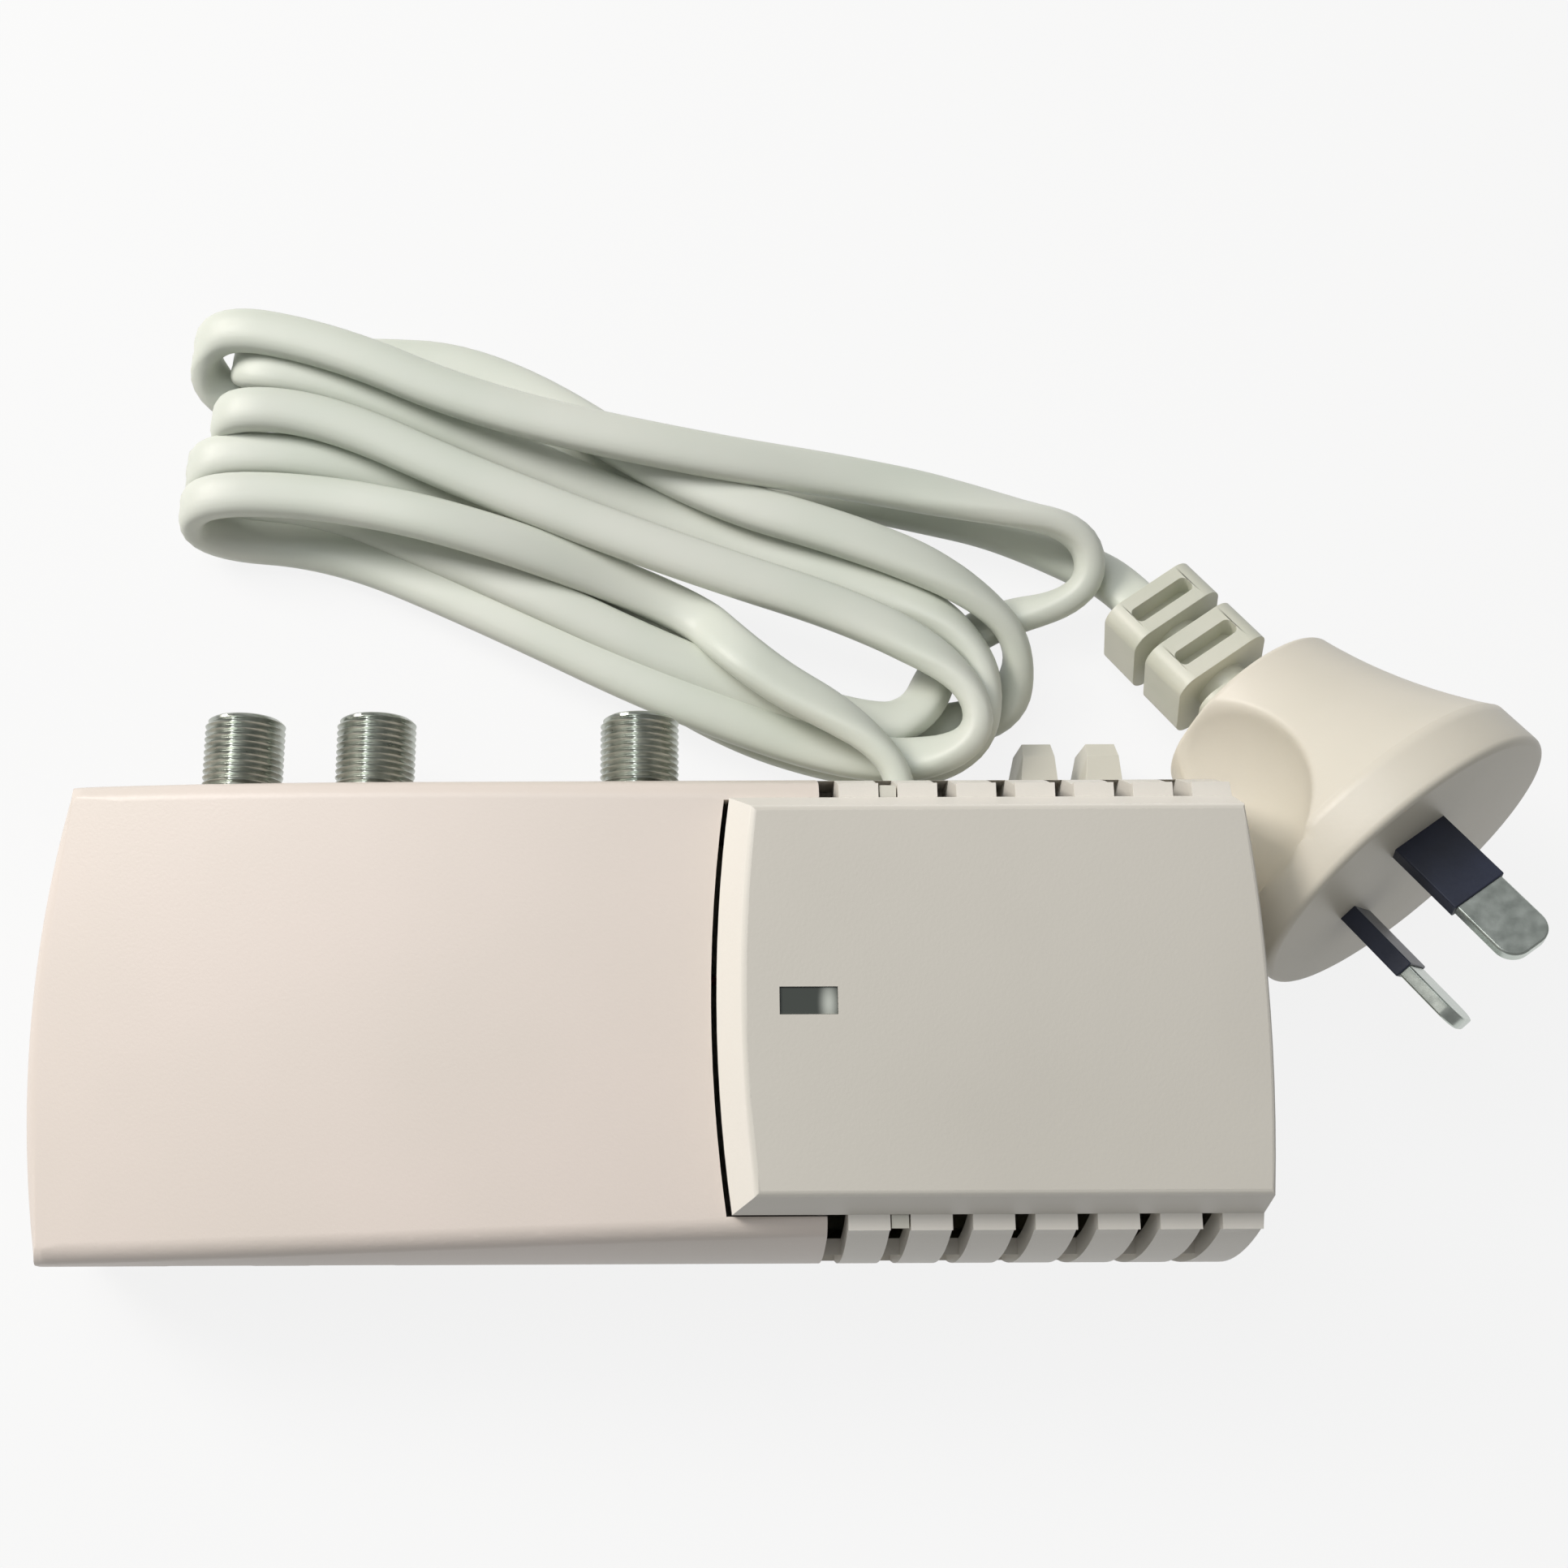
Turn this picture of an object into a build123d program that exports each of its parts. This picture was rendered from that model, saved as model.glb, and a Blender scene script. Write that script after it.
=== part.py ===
import math
import os

from build123d import *

os.makedirs("parts", exist_ok=True)

# All lengths are millimetres. The amplifier lies on its back: the origin is the middle of the flat back,
# +X runs along the case towards the mains cover, +Y towards the aerial sockets and +Z out of the front.

# Case
case_length = 137.6
case_width = 54.8
case_height = 38.0
wall = 2.0
floor_thickness = 2.0
end_bow = 2.0
foot_width = 50.0
widest_height = 15.0
crest_width = 45.3
crest_drop = 2.0
crest_height = case_height - crest_drop
seam_height = 9.0
foot_chamfer = 0.8
overrun = 1.0

# Front surface of the left-hand cover, an arch along the case
arch_end_drop = 17.0
arch_middle_x = -25.0
arch_middle_drop = 9.2
arch_seam_drop = 4.8
arch_end_height = case_height - arch_end_drop
arch_middle_height = case_height - arch_middle_drop
arch_seam_height = case_height - arch_seam_drop
arch_fillet = 2.4

# Raised mains cover on the right
seam_x = 21.5
cover_gap = 0.6
seam_clearance = 0.15
shoulder_width = 47.6
lid_rise = 4.0
ledge_height = case_height - lid_rise
shoulder_edge = 1.0
shoulder_height = ledge_height - shoulder_edge
lid_foot_width = 44.4
lid_top_width = 40.6
lid_left_x = 11.6
lid_left_bow = 1.5
lid_left_chamfer = 2.7
skirt_depth = 10.0
skirt_bottom = ledge_height - skirt_depth

# Vent slots along both long sides of the mains cover
slot_count = 7
slot_width = 2.1
slot_pitch = 6.45
slot_through_depth = 12.0
slot_through_bottom = ledge_height - slot_through_depth
slot_groove_bottom = 10.5
groove_depth = 1.0

# Snap hooks that fill the top of the second slot on each side
hook_width = 2.6
hook_thickness = 1.6
hook_clearance = 0.2
hook_tab_height = 1.8

# Indicator window in the lid
window_x = 19.7
window_y = -0.5
window_length = 6.0
window_width = 2.8
window_clearance = 0.05
window_flange = 0.8
window_flange_thickness = 0.8
window_sink = 0.2

# Aerial sockets, 3/8 inch thread
port_pitch = 16.0
first_port_x = -47.0
port_count = 4
blank_port = 2
port_height = 14.5
port_radius = 5.2
thread_radius = 4.7625
thread_length = 9.3
neck_radius = 4.3
nut_across_flats = 11.0
nut_thickness = 2.5
socket_bore_radius = 3.5
tail_radius = 3.4
tail_length = 2.6
tail_clearance = 0.1
insulator_recess = 0.4
insulator_face = 0.8
insulator_length = 4.0
contact_radius = 0.6
contact_bore_radius = 0.45
contact_tail_y = 17.5
thread_chamfer = 0.5
tail_wall = 0.8
socket_names = ("input", "loop", "output")

# Screening box of the amplifier section
chassis_left_x = -57.0
chassis_right_x = 6.0
chassis_front_y = -19.5
chassis_rear_y = 21.5
chassis_bottom = 4.0
chassis_top = 19.0
chassis_wall = 1.0
chassis_lid_thickness = 0.8
chassis_lip = 1.0
chassis_pad_radius = 2.5
chassis_pad_inset = 6.0

# Circuit boards
board_thickness = 1.6
board_clearance = 0.5
rf_board_bottom = 8.0
psu_board_bottom = 6.0
psu_board_left_x = 17.0
psu_board_right_x = 56.5
post_radius = 2.2
post_inset = 3.5

# Gain trimmers behind the two front windows
trimmer_height = 13.4
trimmer_width = 9.0
trimmer_depth = 3.5
rotor_radius = 3.3
rotor_thickness = 1.8
rotor_gap = 0.3
rotor_shaft_radius = 1.5
rotor_running_clearance = 0.05
rotor_shaft_length = 2.4
rotor_slot_width = 0.8
rotor_slot_depth = 0.8
rotor_slot_length = 5.0
trimmer_window_width = 10.0
trimmer_window_height = 8.4

trimmer_drop = 0.4
trimmer_names = ("left", "right")

# Small parts on the amplifier board
coil_count = 3
parts_row = 6.0
filter_can_corner = 0.8
coil_radius = 2.6
coil_height = 6.0
coil_bore_radius = 1.2
filter_can_length = 10.0
filter_can_width = 7.0
filter_can_height = 5.0
parts_pitch = 15.0

# Mains transformer
core_width = 25.0
core_height = 25.0
core_thickness = 14.0
core_x = 44.5
core_y = -4.0
leg_width = 7.6
outer_leg_width = 4.2
yoke_height = 4.2
coil_overhang = 5.5
coil_clearance = 0.2
coil_corner = 2.0
bobbin_wall = 1.0

# Other parts of the mains section
capacitor_x = 27.0
capacitor_y = -13.0
capacitor_radius = 4.0
capacitor_length = 13.0
capacitor_groove = 0.5
regulator_x = 26.5
regulator_y = 11.0
regulator_width = 10.2
regulator_height = 15.0
regulator_thickness = 4.4
regulator_tab = 1.3
regulator_tab_height = 6.0
regulator_stand = 4.0
regulator_pin_width = 0.9
diode_radius = 1.3
diode_length = 5.0
diode_pitch = 4.0
diode_count = 4
diode_lift = 0.6
diode_lead = 1.5
diode_lead_width = 0.7
diode_x = 26.5
diode_y = -5.0
fuse_x = 47.5
fuse_y = 15.0
fuse_radius = 2.6
fuse_length = 18.0
fuse_cap_length = 4.5
fuse_clearance = 0.1
fuse_axis_height = 12.0
fuse_clip_width = 3.0
fuse_clip_thickness = 0.6
led_radius = 1.5
led_length = 4.2
led_flange_radius = 1.9
led_flange_thickness = 0.9
led_window_gap = 0.4
led_lead_width = 0.5
led_lead_spacing = 1.27
led_dome_share = 0.9
feedthrough_radius = 1.6
feedthrough_length = 3.0
feedthrough_y = 5.0
feedthrough_height = 13.0
link_radius = 0.6
link_bend_radius = 2.0
mains_wire_radius = 0.9
mains_wire_spacing = 1.6
mains_wire_bend_radius = 2.0
mains_wire_reach = 3.6

# Case screws
screw_left_x = -62.0
screw_left_y = 15.5
screw_right_x = 61.5
screw_right_y = 17.5
screw_radius = 1.4
screw_clearance = 0.05
screw_head_radius = 2.7
screw_head_height = 1.8
screw_head_clearance = 0.3
screw_recess_depth = 2.6
screw_length = 14.0
screw_end_gap = 0.5
boss_radius = 4.3
cover_boss_radius = 3.2
screw_drive_width = 0.7
screw_drive_length = 3.2
screw_drive_depth = 0.9

# Two tapered lugs on the socket side of the rear half
lug_xs = (49.0, 57.0)
lug_root_width = 5.6
lug_tip_width = 3.6
lug_bottom = 1.0
lug_height = 8.0
lug_reach = 9.0
lug_bevel = 1.5

# Mains cord, a flat twin flex whose section is drawn as a round of about the same area
cord_diameter = 4.0
cord_notch_width = 6.4
cord_x = 33.1
clamp_face_y = 23.6
cord_height = 12.5
cord_saddle_clearance = 0.3
clamp_width = 5.0
clamp_length = 4.6
clamp_cover = 2.4
hank_apart = 9.0
gap_sample = 0.8
first_layer_height = 2.1
layer_pitch = 4.7

# Plug with two flat pins
face_x = 90.0
face_y = 16.6
face_height = 21.3
plug_heading = -56.2
plug_tilt = 18.0
face_radius = 20.2
rim_length = 5.0
rim_step = 0.4
rear_radius = 11.8
body_length = 27.0
waist_radius = 14.2
waist_share = 0.55
face_fillet = 1.2
rear_fillet = 1.5
grip_direction = 134.0
grip_radius = 17.0
grip_floor = 8.2
grip_place_share = 0.66
pin_circle_radius = 7.92
pin_width = 6.35
pin_thickness = 1.6
pin_length = 17.06
pin_tip_radius = 2.2
pin_root_depth = 3.0
pin_angle = 120.0
pin_start = 90.0
sleeve_length = 9.0
sleeve_wall = 0.3
relief_length = 19.3
relief_width = 13.2
relief_thickness = 11.6
relief_neck_width = 10.4
relief_neck_thickness = 8.4
relief_neck_length = 3.0
relief_gap = 2.0
relief_segment_length = 6.5
relief_corner = 2.4
relief_core_radius = 3.4
relief_window_length = 8.5
relief_window_width = 2.2
relief_window_depth = 3.2

# Worked-out places
half_length = case_length / 2
half_width = case_width / 2
port_xs = [first_port_x + index * port_pitch for index in range(port_count)]
fitted_port_xs = [x for index, x in enumerate(port_xs) if index != blank_port]
trimmer_xs = (port_xs[0], port_xs[1])
slot_xs = [seam_x + slot_width / 2 + index * slot_pitch for index in range(slot_count)]
screw_places = [
    (screw_left_x, screw_left_y),
    (screw_left_x, -screw_left_y),
    (screw_right_x, screw_right_y),
    (screw_right_x, -screw_right_y),
]
rf_board_top = rf_board_bottom + board_thickness
rf_board_length = chassis_right_x - chassis_left_x - 2 * chassis_wall - 2 * board_clearance
rf_board_width = chassis_rear_y - chassis_front_y - 2 * chassis_wall - 2 * board_clearance
rf_board_front_y = chassis_front_y + chassis_wall + board_clearance
socket_tip_y = half_width + thread_length
contact_length = socket_tip_y - insulator_recess - insulator_face - contact_tail_y
screw_tip = screw_recess_depth + screw_length
psu_board_top = psu_board_bottom + board_thickness
# The mains board runs as far across as the cord clamp leaves it, and the same the other way
psu_board_width = 2 * (clamp_face_y - clamp_length - board_clearance)
chassis_length = chassis_right_x - chassis_left_x
chassis_depth = chassis_rear_y - chassis_front_y
chassis_x = (chassis_right_x + chassis_left_x) / 2
chassis_y = (chassis_rear_y + chassis_front_y) / 2
psu_board_length = psu_board_right_x - psu_board_left_x
psu_board_x = (psu_board_right_x + psu_board_left_x) / 2


def finish(builder, name):
    """Label a finished piece and write it to its own file."""
    builder.part.label = name
    export_step(builder.part, f"parts/{name}.step")


# Outlines shared by the case halves


def plan_outline(inset):
    """Barrel-shaped outline seen from the front: straight sides and ends that bow outwards."""
    side = half_width + overrun - inset
    end = half_length - inset
    corner = end - end_bow
    with BuildSketch(Plane.XY, mode=Mode.PRIVATE) as plan:
        with BuildLine():
            Line((-corner, side), (corner, side))
            ThreePointArc((corner, side), (end, 0), (corner, -side))
            Line((corner, -side), (-corner, -side))
            ThreePointArc((-corner, -side), (-end, 0), (-corner, side))
        make_face()
    return plan.sketch


def arched_section(inset):
    """Section across the left-hand cover: bulging sides, open at the crest."""
    foot = foot_width / 2 - inset
    belly = half_width - inset
    crest = crest_width / 2 - inset
    with BuildSketch(Plane.YZ, mode=Mode.PRIVATE) as section:
        with BuildLine():
            Line((-foot, 0), (foot, 0))
            ThreePointArc((foot, 0), (belly, widest_height), (crest, crest_height))
            Line((crest, crest_height), (-crest, crest_height))
            ThreePointArc((-crest, crest_height), (-belly, widest_height), (-foot, 0))
        make_face()
    return section.sketch


def lidded_section(inset):
    """Section across the mains cover: bulging sides, a narrow ledge and the raised lid."""
    foot = foot_width / 2 - inset
    belly = half_width - inset
    shoulder = shoulder_width / 2 - inset
    ledge = ledge_height - inset
    lid_foot = lid_foot_width / 2 - inset
    lid_top = lid_top_width / 2 - inset
    top = case_height - inset
    with BuildSketch(Plane.YZ, mode=Mode.PRIVATE) as section:
        with BuildLine():
            ThreePointArc((foot, 0), (belly, widest_height), (shoulder, shoulder_height - inset))
            Polyline(
                (shoulder, shoulder_height - inset),
                (shoulder, ledge),
                (lid_foot, ledge),
                (lid_top, top),
                (-lid_top, top),
                (-lid_foot, ledge),
                (-shoulder, ledge),
                (-shoulder, shoulder_height - inset),
            )
            ThreePointArc((-shoulder, shoulder_height - inset), (-belly, widest_height), (-foot, 0))
            Line((-foot, 0), (foot, 0))
        make_face()
    return section.sketch


def arch_profile(inset):
    """Side view of the left-hand cover: its front surface is one shallow arch along the case."""
    left = -half_length - overrun
    right = seam_x
    with BuildSketch(Plane.XZ, mode=Mode.PRIVATE) as profile:
        with BuildLine():
            ThreePointArc(
                (left, arch_end_height - inset),
                (arch_middle_x, arch_middle_height - inset),
                (right, arch_seam_height - inset),
            )
            Line((right, arch_seam_height - inset), (right, -overrun))
            Line((right, -overrun), (left, -overrun))
            Line((left, -overrun), (left, arch_end_height - inset))
        make_face()
    return profile.sketch


def lid_edge_region(inset, bottom, top):
    """Block that stands right of the lid's bowed left edge, set back by an inset."""
    corner = lid_left_x + inset
    side = case_width
    with BuildPart(mode=Mode.PRIVATE) as region:
        with BuildSketch(Plane.XY.offset(bottom)):
            with BuildLine():
                ThreePointArc(
                    (corner, lid_foot_width / 2), (corner - lid_left_bow, 0), (corner, -lid_foot_width / 2)
                )
                Line((corner, -lid_foot_width / 2), (corner, -side))
                Line((corner, -side), (case_length, -side))
                Line((case_length, -side), (case_length, side))
                Line((case_length, side), (corner, side))
                Line((corner, side), (corner, lid_foot_width / 2))
            make_face()
        extrude(amount=top - bottom)
    return region.part


def case_block(section, inset, bottom, top):
    """Solid of the case between two heights, inset by a wall."""
    with BuildPart(mode=Mode.PRIVATE) as block:
        extrude(section, amount=case_length, both=True)
        extrude(plan_outline(inset), amount=case_height + overrun, mode=Mode.INTERSECT)
        with BuildSketch(Plane.XY.offset(bottom)):
            Rectangle(case_length * 2, case_width * 2)
        extrude(amount=top - bottom, mode=Mode.INTERSECT)
    return block.part


def arched_block(inset, bottom):
    """Solid under the arched front of the left-hand cover, inset by a wall."""
    with BuildPart(mode=Mode.PRIVATE) as block:
        add(case_block(arched_section(inset), inset, bottom, crest_height))
        extrude(arch_profile(inset), amount=case_width, both=True, mode=Mode.INTERSECT)
    return block.part


def lid_region(inset, side_inset, bottom):
    """Tongue of the lid: right of its bowed left edge and between the side strips."""
    with BuildPart(mode=Mode.PRIVATE) as region:
        add(lid_edge_region(inset, bottom, case_height))
        with BuildSketch(Plane.XY.offset(bottom)):
            Rectangle(case_length * 2, lid_foot_width - 2 * side_inset)
        extrude(amount=case_height, mode=Mode.INTERSECT)
    return region.part


def lid_block(inset, bottom):
    """Solid of the mains cover: full width right of the seam and a lid that reaches left of it."""
    with BuildPart(mode=Mode.PRIVATE) as block:
        add(case_block(lidded_section(inset), inset, bottom, case_height))
        add(lid_edge_region(inset, bottom - overrun, case_height), mode=Mode.INTERSECT)
        top = block.faces().sort_by(Axis.Z)[-1]
        slope = case_height - ledge_height
        chamfer(top.edges().sort_by(Axis.X)[0], lid_left_chamfer, slope, reference=top)
        with BuildPart(mode=Mode.PRIVATE) as keep:
            with BuildSketch(Plane.XY.offset(bottom - overrun)):
                with Locations((seam_x + seam_clearance + case_length, 0)):
                    Rectangle(2 * case_length, 2 * case_width)
            extrude(amount=case_height)
            add(lid_region(inset, inset, skirt_bottom - inset))
        add(keep.part, mode=Mode.INTERSECT)
    return block.part


def room_around_bosses(room, places):
    """Inside of a cover, left out where its screw bosses stand."""
    with BuildPart(mode=Mode.PRIVATE) as rest:
        add(room)
        with BuildSketch(Plane.XY.offset(seam_height)):
            with Locations(*places):
                Circle(cover_boss_radius)
        extrude(amount=case_height, mode=Mode.SUBTRACT)
    return rest.part


def side_y(height, inset=0.0):
    """Half width of the bulging side at a height, from the circle through its three drawn points."""
    y1 = foot_width / 2
    y2 = half_width
    y3 = crest_width / 2
    z2 = widest_height
    z3 = crest_height
    # Circle through (y1, 0), (y2, z2) and (y3, z3)
    a = 2 * (y2 - y1)
    b = 2 * z2
    c = y2**2 + z2**2 - y1**2
    d = 2 * (y3 - y1)
    e = 2 * z3
    f = y3**2 + z3**2 - y1**2
    centre_y = (c * e - f * b) / (a * e - d * b)
    centre_z = (a * f - d * c) / (a * e - d * b)
    radius = math.hypot(y1 - centre_y, centre_z)
    return centre_y + math.sqrt(radius**2 - (height - centre_z) ** 2) - inset


# Cord route

# The free stretch from the clamp inside the case to the hank, points chosen by hand
exit_points = [
    (cord_x, clamp_face_y, cord_height),
    (cord_x, 29.6, cord_height),
    (30.0, 34.2, 12.6),
    (24.8, 38.2, 12.5),
    (18.6, 41.8, 12.2),
    (15.7, 44.2, 11.9),
]
# Corner where the cord dips from the free stretch into the hank
hank_corner = (12.8, 46.6, 11.6)

# The hank. Each of its runs passes four stations along X; a row gives the run's place across at each station,
# then its layer there: 0 lies on the floor, 1 and 2 on the turns below.
station_xs = (-40.0, -20.0, 7.0, 30.0)
run_rows = {
    "from_case": ((67.9, 62.8, 54.4, None), (1.85, 2.15, 0.6, None)),
    "front_low": ((64.2, 54.6, 40.6, 32.6), (0.0, 0.6, 1.0, 1.05)),
    "middle_top": ((79.0, 69.3, 58.8, 51.0), (2.0, 2.0, 1.85, 1.85)),
    "floor_front": ((75.3, 64.0, 40.9, 33.0), (0.0, 0.0, 0.0, 0.05)),
    "middle_sunk": ((85.2, 76.8, 65.6, 57.0), (1.4, 1.1, 0.5, 1.05)),
    "back_under": ((93.0, 87.0, 69.4, 61.6), (0.0, 0.4, 1.4, 1.7)),
    "floor_middle": ((74.2, 68.4, 48.3, 38.3), (1.45, 0.6, 0.0, 0.0)),
    "front_high": ((69.3, 59.4, 45.6, 37.4), (0.0, 1.0, 1.0, 1.0)),
    "back_top": ((88.8, 79.4, 73.0, 70.2), (2.1, 2.2, 2.15, 1.55)),
    "to_plug": ((83.0, 77.6, 73.8, 70.8), (0.0, 0.0, 0.0, 0.0)),
}
# Folds at the left end: how far out, place across and layer of the upper strand, then of the lower one
left_folds = [
    (-57.6, 68.3, 1.85, 65.6, 0.0),
    (-54.0, 80.0, 2.05, 78.4, 0.0),
    (-52.2, 87.0, 1.4, 91.2, 0.0),
    (-57.4, 74.8, 1.45, 70.8, 0.0),
    (-57.2, 92.6, 1.8, 84.6, 0.1),
]
# Bends at the right end, corner by corner: place along, place across, layer
right_bends = [
    [(42.8, 33.8, 2.0), (42.6, 42.2, 2.1)],
    [(42.8, 34.2, 1.0), (45.6, 43.6, 1.28), (40.4, 51.8, 1.28)],
    [(42.6, 55.8, 1.5), (49.8, 49.2, 0.95), (48.2, 41.0, 0.0), (40.0, 39.2, 0.0)],
    [
        (36.2, 39.6, 1.0),
        (39.2, 46.5, 0.25),
        (44.6, 53.0, 0.08),
        (58.8, 55.2, 0.8),
        (58.4, 63.4, 1.5),
        (46.0, 66.4, 1.6),
    ],
]


def layer_height(layer):
    return first_layer_height + layer * layer_pitch


def run_points(name, leftwards):
    """Points of one run of the hank at its stations, in the order in which the cord goes."""
    across, layers = run_rows[name]
    points = [
        (x, y, layer_height(layer)) for x, y, layer in zip(station_xs, across, layers) if y is not None
    ]
    return points[::-1] if leftwards else points


def hank_route(start, end):
    """The whole hank: out to a fold on the left, back to a bend on the right, until the cord is used up."""
    names = list(run_rows)
    route = [start, hank_corner]
    for index, (reach, upper_y, upper_layer, lower_y, lower_layer) in enumerate(left_folds):
        route += run_points(names[2 * index], leftwards=True)
        route.append((reach, upper_y, layer_height(upper_layer)))
        route.append((reach, lower_y, layer_height(lower_layer)))
        route += run_points(names[2 * index + 1], leftwards=False)
        if index < len(right_bends):
            route += [(x, y, layer_height(layer)) for x, y, layer in right_bends[index]]
    route.append(end)
    return route


plug_axis = Vector(
    math.cos(math.radians(plug_tilt)) * math.cos(math.radians(plug_heading)),
    math.cos(math.radians(plug_tilt)) * math.sin(math.radians(plug_heading)),
    math.sin(math.radians(plug_tilt)),
)
face_centre = Vector(face_x, face_y, face_height)
plug_side = Vector(-plug_axis.Y, plug_axis.X, 0).normalized()
relief_end = face_centre - plug_axis * (body_length + relief_length)
hank_end = (38.0, 68.9, layer_height(0))
# The free stretch from the hank to the plug, points chosen by hand; the last run lies on the plug's axis
last_run = 6.0
plug_points = [
    hank_end,
    (46.0, 67.0, layer_height(0)),
    (52.8, 64.2, layer_height(0)),
    (58.4, 61.2, 2.5),
    tuple(relief_end - plug_axis * last_run),
    tuple(relief_end),
]
arc_share = 0.45


def tube_radii(points):
    """Arc radius at each corner: as large as the two runs beside it allow."""
    radii = []
    for before, corner, after in zip(points, points[1:], points[2:]):
        run_in = Vector(corner) - Vector(before)
        run_out = Vector(after) - Vector(corner)
        half_turn = math.radians(run_in.get_angle(run_out) / 2)
        radii.append(arc_share * min(run_in.length, run_out.length) / math.tan(half_turn))
    return radii


def report_tube(name, part, path, radii):
    """Print the radii and compare the tube's volume with its section times its length."""
    length = sum(edge.length for edge in path.edges())
    expected = math.pi * (cord_diameter / 2) ** 2 * length
    print(f"{name}: length {length:.1f} mm, volume / (section x length) {part.volume / expected:.4f}")
    print(f"{name}: arc radii", " ".join(f"{radius:.1f}" for radius in radii))


def least_self_gap(path, apart):
    """Least gap between surfaces of stretches that lie further apart than this along the tube."""
    wire = Wire(path.edges())
    count = round(wire.length / gap_sample)
    samples = [wire @ (index / count) for index in range(count + 1)]
    skip = math.ceil(apart / gap_sample)
    nearest = min(
        (other - point).length for index, point in enumerate(samples) for other in samples[index + skip :]
    )
    return nearest - cord_diameter


# Rear half of the case: tray, screw bosses, posts, snap hooks, cord saddle and lugs
with BuildPart() as rear_case:
    add(case_block(arched_section(0), 0, 0, seam_height))
    chamfer(rear_case.faces().sort_by(Axis.Z)[0].edges(), foot_chamfer)
    add(case_block(arched_section(wall), wall, floor_thickness, seam_height + overrun), mode=Mode.SUBTRACT)
    with BuildSketch(Plane.XY):
        with Locations(*screw_places):
            Circle(boss_radius)
    extrude(amount=seam_height)
    with BuildSketch(Plane.XY.offset(floor_thickness)):
        with Locations((chassis_x, chassis_y)):
            pad_span_x = chassis_length - 2 * chassis_pad_inset
            pad_span_y = chassis_depth - 2 * chassis_pad_inset
            with GridLocations(pad_span_x, pad_span_y, 2, 2):
                Circle(chassis_pad_radius)
    extrude(amount=chassis_bottom - floor_thickness)
    with BuildSketch(Plane.XY.offset(floor_thickness)):
        with Locations((psu_board_x, 0)):
            with GridLocations(psu_board_length - 2 * post_inset, psu_board_width - 2 * post_inset, 2, 2):
                Circle(post_radius)
    extrude(amount=psu_board_bottom - floor_thickness)
    # Snap hooks: springy tongues inside the wall whose tabs reach out through the second slot
    hook_y = side_y(seam_height, wall) - hook_clearance - hook_thickness / 2
    arm_y = shoulder_width / 2 - wall - hook_clearance - hook_thickness / 2
    tab_bottom = ledge_height - wall - hook_clearance - hook_tab_height
    tab_outer_y = shoulder_width / 2 - hook_clearance
    for sign in (1, -1):
        with BuildSketch(Plane.XY.offset(floor_thickness)):
            with Locations((slot_xs[1], sign * hook_y)):
                Rectangle(hook_width, hook_thickness)
        with BuildSketch(Plane.XY.offset(tab_bottom)):
            with Locations((slot_xs[1], sign * arm_y)):
                Rectangle(hook_width, hook_thickness)
        loft()
        # The tab turns outwards below the ledge and then fills the slot up to the ledge
        for inner_y, low, high in (
            (arm_y - hook_thickness / 2, tab_bottom, tab_bottom + hook_tab_height),
            (arm_y + hook_thickness / 2 + 2 * hook_clearance, tab_bottom, ledge_height - hook_clearance),
        ):
            with BuildSketch(Plane.XY.offset(low)):
                with Locations((slot_xs[1], sign * (inner_y + tab_outer_y) / 2)):
                    Rectangle(slot_width - 2 * seam_clearance, tab_outer_y - inner_y)
            extrude(amount=high - low)
    # Saddle under the cord, in the notch of the mains cover's wall
    saddle_top = cord_height - cord_diameter / 2 - cord_saddle_clearance
    with BuildSketch(Plane.XY.offset(seam_height - wall)):
        with Locations((cord_x, side_y(seam_height) - wall / 2)):
            Rectangle(cord_notch_width - 2 * seam_clearance, wall - 2 * seam_clearance)
    extrude(amount=saddle_top - seam_height + wall)
    # Lugs: wide at the root, narrow at the tip, bevelled towards the front
    for lug_x in lug_xs:
        root_y = side_y(lug_bottom, wall / 2)
        with BuildSketch(Plane.XY.offset(lug_bottom)):
            with BuildLine():
                Polyline(
                    (lug_x - lug_root_width / 2, root_y),
                    (lug_x - lug_tip_width / 2, root_y + lug_reach),
                    (lug_x + lug_tip_width / 2, root_y + lug_reach),
                    (lug_x + lug_root_width / 2, root_y),
                    close=True,
                )
            make_face()
        extrude(amount=lug_height)
        lug_tip = rear_case.edges().filter_by(Axis.X).filter_by_position(
            Axis.Y, root_y + lug_reach - seam_clearance, root_y + lug_reach + seam_clearance
        )
        chamfer(
            [edge for edge in lug_tip.group_by(Axis.Z)[-1] if abs(edge.center().X - lug_x) < lug_root_width],
            lug_bevel,
        )
    with Locations(*[Location((x, y, 0), (180, 0, 0)) for x, y in screw_places]):
        CounterBoreHole(
            screw_radius + screw_clearance,
            screw_head_radius + screw_head_clearance,
            screw_recess_depth,
            depth=seam_height + overrun,
        )
finish(rear_case, "rear_case")

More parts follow.
